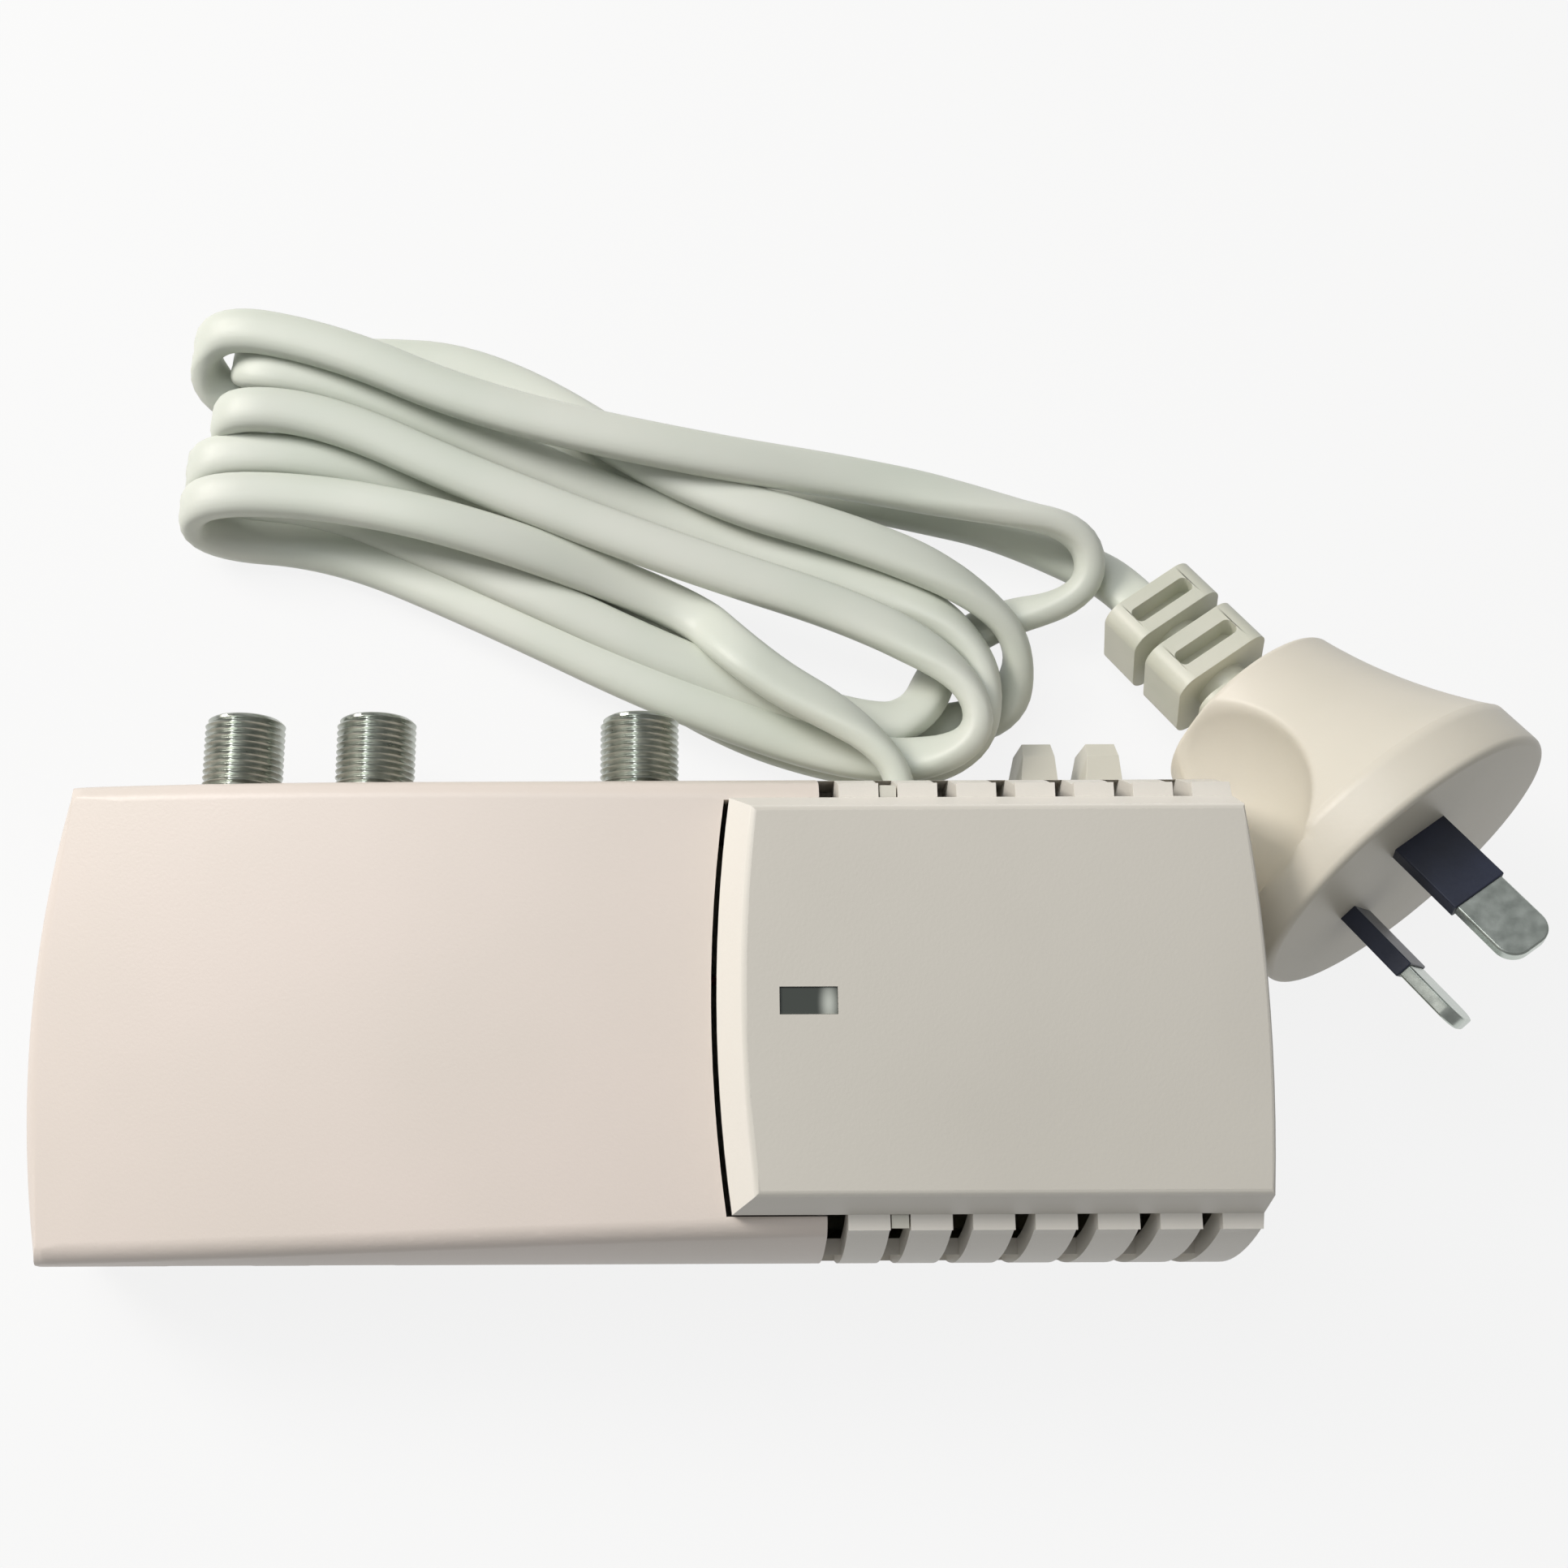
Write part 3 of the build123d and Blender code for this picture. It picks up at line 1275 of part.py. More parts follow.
# Strain relief: blocks on a thin core, so that it bends, each with a slot across its broad faces
with BuildPart() as plug_relief:
    neck_back = -body_length - relief_neck_length
    segment_front = neck_back - relief_gap
    segment_back = segment_front - relief_segment_length
    head_front = segment_back - relief_gap
    head_back = -body_length - relief_length
    with BuildSketch(Plane.XY.offset(-body_length)):
        Circle(relief_core_radius)
    extrude(amount=-relief_length)
    with BuildSketch(Plane.XY.offset(-body_length)):
        RectangleRounded(relief_neck_width, relief_neck_thickness, relief_corner)
    extrude(amount=neck_back + body_length)
    for front_z, back_z in ((segment_front, segment_back), (head_front, head_back)):
        with BuildSketch(Plane.XY.offset(front_z)):
            RectangleRounded(relief_width, relief_thickness, relief_corner)
        extrude(amount=back_z - front_z)
        for sign in (1, -1):
            with BuildSketch(Plane.XZ.offset(sign * relief_thickness / 2)):
                with Locations((0, (front_z + back_z) / 2)):
                    RectangleRounded(relief_window_length, relief_window_width, relief_window_width / 3)
            extrude(amount=-sign * relief_window_depth, mode=Mode.SUBTRACT)
plug_relief.part.location = plug_plane.location
finish(plug_relief, "plug_relief")
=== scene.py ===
import math
import bmesh
import bpy
import numpy as np
from mathutils import Matrix, Vector


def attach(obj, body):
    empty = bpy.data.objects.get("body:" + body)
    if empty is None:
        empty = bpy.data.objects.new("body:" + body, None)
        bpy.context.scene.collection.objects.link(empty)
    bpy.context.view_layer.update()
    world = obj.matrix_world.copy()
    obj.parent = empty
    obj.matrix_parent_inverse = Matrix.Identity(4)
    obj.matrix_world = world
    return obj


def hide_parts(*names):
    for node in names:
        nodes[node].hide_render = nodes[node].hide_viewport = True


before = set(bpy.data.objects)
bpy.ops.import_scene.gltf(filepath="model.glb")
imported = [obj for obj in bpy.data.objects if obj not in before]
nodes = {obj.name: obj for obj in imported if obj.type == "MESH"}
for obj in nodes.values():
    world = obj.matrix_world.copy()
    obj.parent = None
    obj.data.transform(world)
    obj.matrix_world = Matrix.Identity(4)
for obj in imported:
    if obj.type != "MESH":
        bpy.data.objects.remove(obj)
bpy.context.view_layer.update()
mm = 0.001
amplifierBody = "amplifier"
print("frame loaded:", len(nodes), "nodes")


# Each sRGB channel is divided by 12.92 below 0.04045, and otherwise (channel + 0.055) / 1.055 to
# the power 2.4
def linearColour(code):
    channels = [int(code[i:i + 2], 16) / 255 for i in (1, 3, 5)]
    return [c / 12.92 if c < 0.04045 else ((c + 0.055) / 1.055) ** 2.4 for c in channels] + [1.0]


# Adds a node, sets its attributes, then fills its inputs with values or with links from other sockets
def addNode(tree, kind, attributes=None, inputs=None):
    node = tree.nodes.new(kind)
    for name, value in (attributes or {}).items():
        setattr(node, name, value)
    for name, value in (inputs or {}).items():
        if isinstance(value, bpy.types.NodeSocket):
            tree.links.new(value, node.inputs[name])
        else:
            node.inputs[name].default_value = value
    return node


def newMaterial(name):
    material = bpy.data.materials.new(name)
    material.use_nodes = True
    material.node_tree.nodes.clear()
    return material, material.node_tree


# What all moulded plastics here share; light creeps into the soft ones by the reach times its
# three shares
moulded = {
    "drift": 45.0,
    "driftRamp": (0.35, 0.65),
    "grain": 0.35,
    "grainHeight": 0.02,
    "grainShare": 0.6,
    "polishSpread": 0.05,
    # Width in millimetres over which the painted shade on a top face comes in
    "paintedShadeEdge": 0.25,
    "ior": 1.5,
    "creepReach": 0.6,
    "creepShares": (1.2, 1.0, 0.8),
}


# A colour that drifts slowly between two tones, and a fine grain that stands in the surface. Sizes are
# millimetres; real eroded grain is about 0.05 and is drawn coarser, so that it shows. Above the given
# height, if there is one, the tone is multiplied by a darker one: painted shade on a top face.
def mouldedPlastic(
    name,
    tones,
    roughness,
    driftSize=moulded["drift"],
    grainSize=moulded["grain"],
    subsurface=0.0,
    paintedTopShade=None,
):
    m = moulded
    material, tree = newMaterial(name)
    place = addNode(tree, "ShaderNodeTexCoord").outputs["Object"]
    drift = addNode(
        tree,
        "ShaderNodeTexNoise",
        inputs={"Vector": place, "Scale": 1 / (driftSize * mm), "Detail": 3.0},
    )
    colour = addNode(tree, "ShaderNodeValToRGB", inputs={"Fac": drift.outputs["Fac"]})
    for stop, position, tone in zip(colour.color_ramp.elements, m["driftRamp"], tones):
        stop.position = position
        stop.color = linearColour(tone)
    shown = colour.outputs["Color"]
    # Painted shade: above the given height the tone is darkened, for the lesser light on a top face
    if paintedTopShade:
        height = addNode(tree, "ShaderNodeSeparateXYZ", inputs={"Vector": place}).outputs["Z"]
        face = addNode(
            tree,
            "ShaderNodeMapRange",
            inputs={
                "Value": height,
                "From Min": (paintedTopShade[0] - m["paintedShadeEdge"]) * mm,
                "From Max": paintedTopShade[0] * mm,
            },
        )
        mixed = addNode(
            tree,
            "ShaderNodeMix",
            {"data_type": "RGBA", "blend_type": "MULTIPLY"},
            {0: face.outputs["Result"], 6: shown, 7: linearColour(paintedTopShade[1])},
        )
        shown = mixed.outputs[2]
    grain = addNode(
        tree,
        "ShaderNodeTexNoise",
        inputs={"Vector": place, "Scale": 1 / (grainSize * mm), "Detail": 2.0},
    )
    polish = addNode(
        tree,
        "ShaderNodeMapRange",
        inputs={
            "Value": grain.outputs["Fac"],
            "To Min": roughness - m["polishSpread"],
            "To Max": roughness + m["polishSpread"],
        },
    )
    bump = addNode(
        tree,
        "ShaderNodeBump",
        inputs={
            "Height": grain.outputs["Fac"],
            "Distance": m["grainHeight"] * mm,
            "Strength": m["grainShare"],
        },
    )
    shader = addNode(
        tree,
        "ShaderNodeBsdfPrincipled",
        inputs={
            "Base Color": shown,
            "Roughness": polish.outputs["Result"],
            "Normal": bump.outputs["Normal"],
            "IOR": m["ior"],
            "Subsurface Weight": subsurface,
            "Subsurface Radius": m["creepShares"],
            "Subsurface Scale": m["creepReach"] * mm,
        },
    )
    addNode(tree, "ShaderNodeOutputMaterial", inputs={"Surface": shader.outputs[0]})
    return material


# What all metals here share; the polish runs from rather smoother to rather rougher than the
# middle value
plated = {
    "grain": 0.5,
    "grainHeight": 0.01,
    "grainShare": 0.5,
    "toneRamp": (0.3, 0.7),
    "smoother": 0.08,
    "rougher": 0.1,
}


# Metal with a fine drawn or plated grain: tone, roughness and height follow one noise, which a
# stretch below 1 draws out along that axis
def platedMetal(name, tones, roughness, stretch=(1.0, 1.0, 1.0), grainSize=plated["grain"]):
    p = plated
    material, tree = newMaterial(name)
    place = addNode(tree, "ShaderNodeTexCoord").outputs["Object"]
    drawn = addNode(tree, "ShaderNodeMapping", inputs={"Vector": place, "Scale": stretch})
    grain = addNode(
        tree,
        "ShaderNodeTexNoise",
        inputs={"Vector": drawn.outputs["Vector"], "Scale": 1 / (grainSize * mm), "Detail": 4.0},
    )
    colour = addNode(tree, "ShaderNodeValToRGB", inputs={"Fac": grain.outputs["Fac"]})
    for stop, position, tone in zip(colour.color_ramp.elements, p["toneRamp"], tones):
        stop.position = position
        stop.color = linearColour(tone)
    polish = addNode(
        tree,
        "ShaderNodeMapRange",
        inputs={
            "Value": grain.outputs["Fac"],
            "To Min": roughness - p["smoother"],
            "To Max": roughness + p["rougher"],
        },
    )
    bump = addNode(
        tree,
        "ShaderNodeBump",
        inputs={
            "Height": grain.outputs["Fac"],
            "Distance": p["grainHeight"] * mm,
            "Strength": p["grainShare"],
        },
    )
    shader = addNode(
        tree,
        "ShaderNodeBsdfPrincipled",
        inputs={
            "Base Color": colour.outputs["Color"],
            "Metallic": 1.0,
            "Roughness": polish.outputs["Result"],
            "Normal": bump.outputs["Normal"],
        },
    )
    addNode(tree, "ShaderNodeOutputMaterial", inputs={"Surface": shader.outputs[0]})
    return material


# What the clear materials share; a smear on them is this many millimetres wide
clear = {"smear": 2.5, "polishSpread": 0.06, "ior": 1.49}


# Clear or tinted glass or resin: light passes, tinted by the base colour, through a faintly
# smeared surface
def clearMaterial(name, tone, roughness, transmission):
    material, tree = newMaterial(name)
    place = addNode(tree, "ShaderNodeTexCoord").outputs["Object"]
    smear = addNode(
        tree,
        "ShaderNodeTexNoise",
        inputs={"Vector": place, "Scale": 1 / (clear["smear"] * mm), "Detail": 2.0},
    )
    polish = addNode(
        tree,
        "ShaderNodeMapRange",
        inputs={
            "Value": smear.outputs["Fac"],
            "To Min": roughness,
            "To Max": roughness + clear["polishSpread"],
        },
    )
    shader = addNode(
        tree,
        "ShaderNodeBsdfPrincipled",
        inputs={
            "Base Color": linearColour(tone),
            "Roughness": polish.outputs["Result"],
            "Transmission Weight": transmission,
            "IOR": clear["ior"],
        },
    )
    addNode(tree, "ShaderNodeOutputMaterial", inputs={"Surface": shader.outputs[0]})
    return material


# Moulded ABS, spark-eroded: a dry satin white with a slow drift of warm and cool, as old whites have.
# The lid's top face is painted a shade darker than its edges: painted shade for the low light from the
# left, which falls more on its edges.
coverAbs = mouldedPlastic("coverAbs", ("#E1D6CD", "#DBD2C8"), 0.42)
lidAbs = mouldedPlastic("lidAbs", ("#E9E5DC", "#E3DFD6"), 0.44, paintedTopShade=(37.9, "#EBEBE9"))
rearAbs = mouldedPlastic("rearAbs", ("#DAD8CC", "#D3D1C5"), 0.44)
# Plasticised PVC, extruded or moulded: softer gloss, light creeps a little way in
cordPvc = mouldedPlastic("cordPvc", ("#D9DCD2", "#CFD5C9"), 0.46, 30.0, 0.8, subsurface=0.05)
plugPvc = mouldedPlastic("plugPvc", ("#DDD7C9", "#D7D2C3"), 0.42, 25.0, 0.6, subsurface=0.05)
reliefPvc = mouldedPlastic("reliefPvc", ("#D6D6C8", "#CDCFBF"), 0.42, 12.0, 0.6, subsurface=0.05)
# Nylon moulded over the roots of the pins: dark navy with a low sheen
sleeveNylon = mouldedPlastic("sleeveNylon", ("#232838", "#2C3246"), 0.4, 6.0, 0.5)
# Cast epoxy of the lamp, cloudy green, and the fuse's drawn glass, clear as water
lampEpoxy = clearMaterial("lampEpoxy", "#9FCFA6", 0.2, 0.5)
fuseGlass = clearMaterial("fuseGlass", "#F2F7F6", 0.03, 0.95)
# Nickel plate on brass, dulled by handling: grey with a green cast, its mottling drawn coarse
# enough to show
socketNickel = platedMetal("socketNickel", ("#A9AEA6", "#C3C7BF"), 0.3, grainSize=1.6)
pinNickel = platedMetal("pinNickel", ("#B4BCB5", "#CBD2CB"), 0.3, grainSize=1.4)
# Tinned sheet with a rolled grain, dull zinc on the screws, core steel whose stacked sheets show
# as fine lines, and brass contacts, drawn and bright
tinPlate = platedMetal("tinPlate", ("#B9BCBE", "#CFD1D2"), 0.36, stretch=(0.1, 1.0, 1.0))
screwZinc = platedMetal("screwZinc", ("#9C9EA1", "#B4B6B8"), 0.35)
coreSteel = platedMetal("coreSteel", ("#4C4E52", "#66686C"), 0.5, stretch=(0.1, 8.0, 0.1), grainSize=2.0)
contactBrass = platedMetal("contactBrass", ("#C9A65B", "#DCBD77"), 0.25)
# Milky polyethylene, green glass-filled epoxy board, and moulded nylon, dark and pale, all plain satin
insulatorPe = mouldedPlastic("insulatorPe", ("#E4E6E2", "#DCDFDA"), 0.5, 4.0)
boardEpoxy = mouldedPlastic("boardEpoxy", ("#2F5A2B", "#3B6B35"), 0.35, 8.0, 0.7)
darkNylon = mouldedPlastic("darkNylon", ("#1D2130", "#272C3C"), 0.45, 5.0)
paleNylon = mouldedPlastic("paleNylon", ("#D2CEC2", "#C6C2B5"), 0.45, 5.0)
clampNylon = mouldedPlastic("clampNylon", ("#1F1F1F", "#292929"), 0.5, 5.0)
# Sintered ferrite and moulded chip epoxy: matt near-blacks
ferrite = mouldedPlastic("ferrite", ("#232323", "#303030"), 0.6, 3.0)
chipEpoxy = mouldedPlastic("chipEpoxy", ("#1A1A1A", "#232323"), 0.5, 3.0)
# Extruded PVC on wires, shrunk PVC on the capacitor, and yellow polyester tape: smooth, a little glossy
redWire = mouldedPlastic("redWire", ("#A12720", "#8C1F1A"), 0.35, 5.0)
brownWire = mouldedPlastic("brownWire", ("#5C3420", "#4A2A1A"), 0.35, 5.0)
capSleeve = mouldedPlastic("capSleeve", ("#1B2036", "#222842"), 0.3, 8.0)
windingTape = mouldedPlastic("windingTape", ("#D6B04A", "#C49F3E"), 0.35, 10.0, 1.2)

# Smoked acrylic: grey, with the lamp's pale end showing through as a soft oval spot that fades
# with distance
lampSpot = {
    "place": (21.8, -0.8, 0.0),
    "squash": (1.4, 0.6, 0.0),
    "radius": 1.9,
    "spot": "#C4C9C1",
    "glass": "#474C48",
    "roughness": 0.12,
    "gloss": 0.3,
}
smokedAcrylic, tree = newMaterial("smokedAcrylic")
place = addNode(tree, "ShaderNodeTexCoord").outputs["Object"]
toLamp = addNode(
    tree,
    "ShaderNodeVectorMath",
    {"operation": "SUBTRACT"},
    {0: place, 1: [part * mm for part in lampSpot["place"]]},
)
flat = addNode(
    tree,
    "ShaderNodeVectorMath",
    {"operation": "MULTIPLY"},
    {0: toLamp.outputs[0], 1: lampSpot["squash"]},
)
distance = addNode(tree, "ShaderNodeVectorMath", {"operation": "LENGTH"}, {0: flat.outputs[0]})
spot = addNode(
    tree,
    "ShaderNodeMapRange",
    {"interpolation_type": "SMOOTHSTEP"},
    {"Value": distance.outputs["Value"], "From Max": lampSpot["radius"] * mm, "To Min": 1.0, "To Max": 0.0},
)
glassTone = addNode(
    tree,
    "ShaderNodeMix",
    {"data_type": "RGBA"},
    {0: spot.outputs["Result"], 6: linearColour(lampSpot["glass"]), 7: linearColour(lampSpot["spot"])},
)
glass = addNode(
    tree,
    "ShaderNodeBsdfPrincipled",
    inputs={
        "Base Color": glassTone.outputs[2],
        "Roughness": lampSpot["roughness"],
        "Coat Weight": lampSpot["gloss"],
    },
)
addNode(tree, "ShaderNodeOutputMaterial", inputs={"Surface": glass.outputs[0]})
print("materials made")

finishOf = {
    "main_cover": coverAbs,
    "psu_cover": lidAbs,
    "rear_case": rearAbs,
    "led_window": smokedAcrylic,
    "led": lampEpoxy,
    "led_leads": tinPlate,
    "rf_chassis": tinPlate,
    "rf_chassis_lid": tinPlate,
    "filter_cans": tinPlate,
    "feedthrough": tinPlate,
    "fuse_clips": tinPlate,
    "fuse_caps": socketNickel,
    "fuse_tube": fuseGlass,
    "rf_board": boardEpoxy,
    "psu_board": boardEpoxy,
    "left_gain_trimmer": darkNylon,
    "right_gain_trimmer": darkNylon,
    "left_gain_rotor": paleNylon,
    "right_gain_rotor": paleNylon,
    "rf_coils": ferrite,
    "supply_link": redWire,
    "mains_wires": brownWire,
    "transformer_core": coreSteel,
    "transformer_bobbin": darkNylon,
    "transformer_winding": windingTape,
    "smoothing_capacitor": capSleeve,
    "regulator": chipEpoxy,
    "rectifier_diodes": chipEpoxy,
    "case_screws": screwZinc,
    "cord_clamp": clampNylon,
    "cord_exit_run": cordPvc,
    "cord_hank": cordPvc,
    "cord_plug_run": cordPvc,
    "plug_relief": reliefPvc,
    "plug_body": plugPvc,
    "plug_pins": pinNickel,
    "pin_sleeves": sleeveNylon,
}
for which in ("input", "loop", "output"):
    finishOf[which + "_socket_body"] = socketNickel
    finishOf[which + "_socket_insulator"] = insulatorPe
    finishOf[which + "_socket_contact"] = contactBrass
for name, node in nodes.items():
    node.data.materials.clear()
    node.data.materials.append(finishOf[name])


def addObject(name, data):
    made = bpy.data.objects.new(name, data)
    bpy.context.scene.collection.objects.link(made)
    return made


def vertexPlaces(mesh):
    places = np.empty(len(mesh.vertices) * 3)
    mesh.vertices.foreach_get("co", places)
    return places.reshape(-1, 3)


# The mesh that an object's modifiers, or a curve's resolution, make of it
def finishedMesh(made):
    bpy.context.view_layer.update()
    return bpy.data.meshes.new_from_object(made.evaluated_get(bpy.context.evaluated_depsgraph_get()))


# A grid of points, rows by columns, becomes quads; either direction may close on itself
def gridMesh(name, points, closeRows=False, closeColumns=False, caps=False):
    rows, columns = points.shape[:2]
    index = np.arange(rows * columns).reshape(rows, columns)
    down = np.roll(index, -1, axis=0) if closeRows else index[1:]
    here = index if closeRows else index[:-1]
    if closeColumns:
        faces = np.stack([here, np.roll(here, -1, axis=1), np.roll(down, -1, axis=1), down], axis=-1)
    else:
        faces = np.stack([here[:, :-1], here[:, 1:], down[:, 1:], down[:, :-1]], axis=-1)
    faces = [tuple(f) for f in faces.reshape(-1, 4).tolist()]
    if caps:
        faces.append(tuple(index[0][::-1].tolist()))
        faces.append(tuple(index[-1].tolist()))
    mesh = bpy.data.meshes.new(name)
    mesh.from_pydata(points.reshape(-1, 3).tolist(), [], faces)
    mesh.validate()
    return mesh


# A piece of one material on the amplifier, smooth but for edges sharper than an angle in degrees
def addPiece(name, mesh, material, sharpAngle):
    piece = addObject(name, mesh)
    mesh.materials.clear()
    mesh.materials.append(material)
    mesh.polygons.foreach_set("use_smooth", [True] * len(mesh.polygons))
    mesh.set_sharp_from_angle(angle=math.radians(sharpAngle))
    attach(piece, amplifierBody)
    return piece


# How near points are joined in a CAD mesh and after a cut, the angle below which a face counts as flat,
# and the rounding of edges
shellFinish = {
    "joined": 0.002,
    "joinedAfterCut": 0.02,
    "flatAngle": 0.2,
    "sharpAngle": 28.0,
    "ease": 0.12,
    "easeSteps": 2,
    "rimSteps": 3,
}


# Joins points that are nearer than a distance, and drops the edges inside flat faces
def mergeMesh(mesh, apart):
    work = bmesh.new()
    work.from_mesh(mesh)
    bmesh.ops.remove_doubles(work, verts=work.verts, dist=apart * mm)
    flatAngle = math.radians(shellFinish["flatAngle"])
    bmesh.ops.dissolve_limit(work, angle_limit=flatAngle, verts=work.verts, edges=work.edges)
    work.to_mesh(mesh)
    work.free()


# Takes boxes, given by lowest and highest corners in millimetres, out of a closed mesh
def cutBoxes(mesh, boxes):
    low, high = np.array(boxes, dtype=float).transpose(1, 0, 2)
    corner = np.array([(i >> 2 & 1, i >> 1 & 1, i & 1) for i in range(8)])
    points = np.where(corner[None], high[:, None], low[:, None]) * mm
    sides = np.array([(0, 1, 3, 2), (4, 6, 7, 5), (0, 4, 5, 1), (2, 3, 7, 6), (0, 2, 6, 4), (1, 5, 7, 3)])
    faces = (sides[None] + 8 * np.arange(len(boxes))[:, None, None]).reshape(-1, 4)
    boxMesh = bpy.data.meshes.new("cuts")
    boxMesh.from_pydata(points.reshape(-1, 3).tolist(), [], faces.tolist())
    holder = addObject("holder", mesh)
    cutter = addObject("cutter", boxMesh)
    cut = holder.modifiers.new("cut", "BOOLEAN")
    cut.operation = "DIFFERENCE"
    cut.solver = "EXACT"
    cut.object = cutter
    result = finishedMesh(holder)
    for each in (holder, cutter):
        bpy.data.objects.remove(each)
    return result


# Rounds the edges that lie wholly above a height and past a distance from the middle, as a mould
# does a rim
def softenRim(piece, height, middle, distance, width):
    mesh = piece.data
    places = vertexPlaces(mesh) / mm
    ends = np.empty(len(mesh.edges) * 2, dtype=np.int32)
    mesh.edges.foreach_get("vertices", ends)
    above = (places[:, 2] > height) & (np.abs(places[:, :2] - middle).max(axis=1) > distance)
    weights = mesh.attributes.new("bevel_weight_edge", "FLOAT", "EDGE")
    weights.data.foreach_set("value", above[ends.reshape(-1, 2)].all(axis=1).astype(np.float32))
    bevel = piece.modifiers.new("rim", "BEVEL")
    bevel.width = width * mm
    bevel.segments = shellFinish["rimSteps"]
    bevel.limit_method = "WEIGHT"


# A CAD node's triangles, merged, cut and shaped, smoothed below an angle, its edges eased by a
# small bevel
def easedCopy(
    nodeName,
    material,
    sharpAngle=shellFinish["sharpAngle"],
    ease=shellFinish["ease"],
    shape=None,
    cuts=None,
    softRim=None,
):
    mesh = nodes[nodeName].data.copy()
    mergeMesh(mesh, shellFinish["joined"])
    if cuts:
        mesh = cutBoxes(mesh, cuts)
        mergeMesh(mesh, shellFinish["joinedAfterCut"])
    if shape:
        mesh.vertices.foreach_set("co", shape(vertexPlaces(mesh) / mm).ravel() * mm)
    piece = addPiece("eased_" + nodeName, mesh, material, sharpAngle)
    if softRim:
        softenRim(piece, **softRim)
    bevel = piece.modifiers.new("ease", "BEVEL")
    bevel.width = ease * mm
    bevel.segments = shellFinish["easeSteps"]
    bevel.limit_method = "ANGLE"
    bevel.angle_limit = math.radians(sharpAngle)
    weighted = piece.modifiers.new("weighted", "WEIGHTED_NORMAL")
    weighted.keep_sharp = True
    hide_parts(nodeName)
    return piece


# Camera: 224 mm above the floor, tipped 14 degrees towards the sockets
camera = {
    "place": (9.25, -23.6, 224.0),
    "pitch": 14.0,
    "roll": 0.25,
    "lens": 41.0,
    "sensor": 36.0,
    "shiftX": 0.0487,
    "nearest": 0.01,
}
pitch = math.radians(camera["pitch"])
roll = math.radians(camera["roll"])
ahead = Vector((0, math.sin(pitch), -math.cos(pitch)))
upright = Vector((0, math.cos(pitch), math.sin(pitch)))
sideways = ahead.cross(upright)
turnedUp = upright * math.cos(roll) + sideways * math.sin(roll)
turnedSide = ahead.cross(turnedUp)
cameraData = bpy.data.cameras.new("camera")
cameraData.sensor_width = camera["sensor"]
cameraData.lens = camera["lens"]
cameraData.shift_x = camera["shiftX"]
cameraData.clip_start = camera["nearest"]
cameraObject = addObject("camera", cameraData)
cameraObject.matrix_world = Matrix((
    (turnedSide.x, turnedUp.x, -ahead.x, camera["place"][0] * mm),
    (turnedSide.y, turnedUp.y, -ahead.y, camera["place"][1] * mm),
    (turnedSide.z, turnedUp.z, -ahead.z, camera["place"][2] * mm),
    (0, 0, 0, 1),
))
bpy.context.scene.camera = cameraObject


# Cord: a flat twin flex in a hank, whose path follows rows of places
cord = {
    "width": 5.8,
    "thickness": 3.6,
    "length": 1.21,
    "exitX": 33.1,
    "exitY": 27.4,
    "exitHeight": 12.5,
    "step": 1.1,
    "around": 22,
    "squareness": 2.7,
    "smoothness": 10,
    "pinch": 0.16,
    "pinchLength": 9.0,
    "levelReach": 4.0,
    "sharpAngle": 60.0,
}
# The hank's layers: the height of the lowest one's middle, and the height of one on another
floorLayer = 2.1
layerPitch = 4.7


def layerHeight(layer):
    return floorLayer + layer * layerPitch


# Each row: place, then how far the flat cord stands on its edge there, from 0 lying to 1 upright
exitRoute = [
    (cord["exitX"], 23.6, cord["exitHeight"], 0.9),
    (cord["exitX"], 29.6, cord["exitHeight"], 0.9),
    (30.0, 34.2, 12.6, 0.7),
    (24.8, 38.2, 12.5, 0.4),
    (18.6, 41.8, 12.2, 0.2),
]
# Where the cord dips into the hank
hankCorner = (12.8, 46.6, 11.6, 0.1)
# Each run of the hank: how far back it lies at each station along the case, then its layer there
stationXs = (-40.0, -20.0, 7.0, 30.0)
runRows = {
    "from_case": ((67.9, 62.8, 54.4, None), (1.85, 2.15, 0.6, None)),
    "front_low": ((64.2, 54.6, 40.6, 32.6), (0.0, 0.6, 1.0, 1.05)),
    "middle_top": ((79.0, 69.3, 58.8, 51.0), (2.0, 2.0, 1.85, 1.85)),
    "floor_front": ((75.3, 64.0, 40.9, 33.0), (0.0, 0.0, 0.0, 0.05)),
    "middle_sunk": ((85.2, 76.8, 65.6, 57.0), (1.4, 1.1, 0.5, 1.05)),
    "back_under": ((91.7, 89.7, 69.4, 61.6), (0.0, 0.4, 1.4, 1.7)),
    "floor_middle": ((74.2, 68.4, 48.3, 38.3), (1.45, 0.6, 0.0, 0.0)),
    "front_high": ((69.3, 59.4, 45.6, 37.4), (0.0, 1.0, 1.0, 1.0)),
    "back_top": ((88.8, 79.4, 73.0, 70.2), (2.1, 2.2, 2.15, 1.55)),
    "to_plug": ((83.0, 77.6, 73.8, 70.8), (0.0, 0.0, 0.0, 0.0)),
}
# Folds at the left end: how far left, then how far back and which layer before the fold, and after it
leftFolds = [
    (-57.6, 68.3, 1.85, 65.6, 0.0),
    (-54.0, 80.0, 2.05, 78.4, 0.0),
    (-52.2, 87.0, 1.4, 91.2, 0.0),
    (-57.4, 74.8, 1.45, 70.8, 0.0),
    (-57.2, 92.6, 1.8, 84.6, 0.1),
]
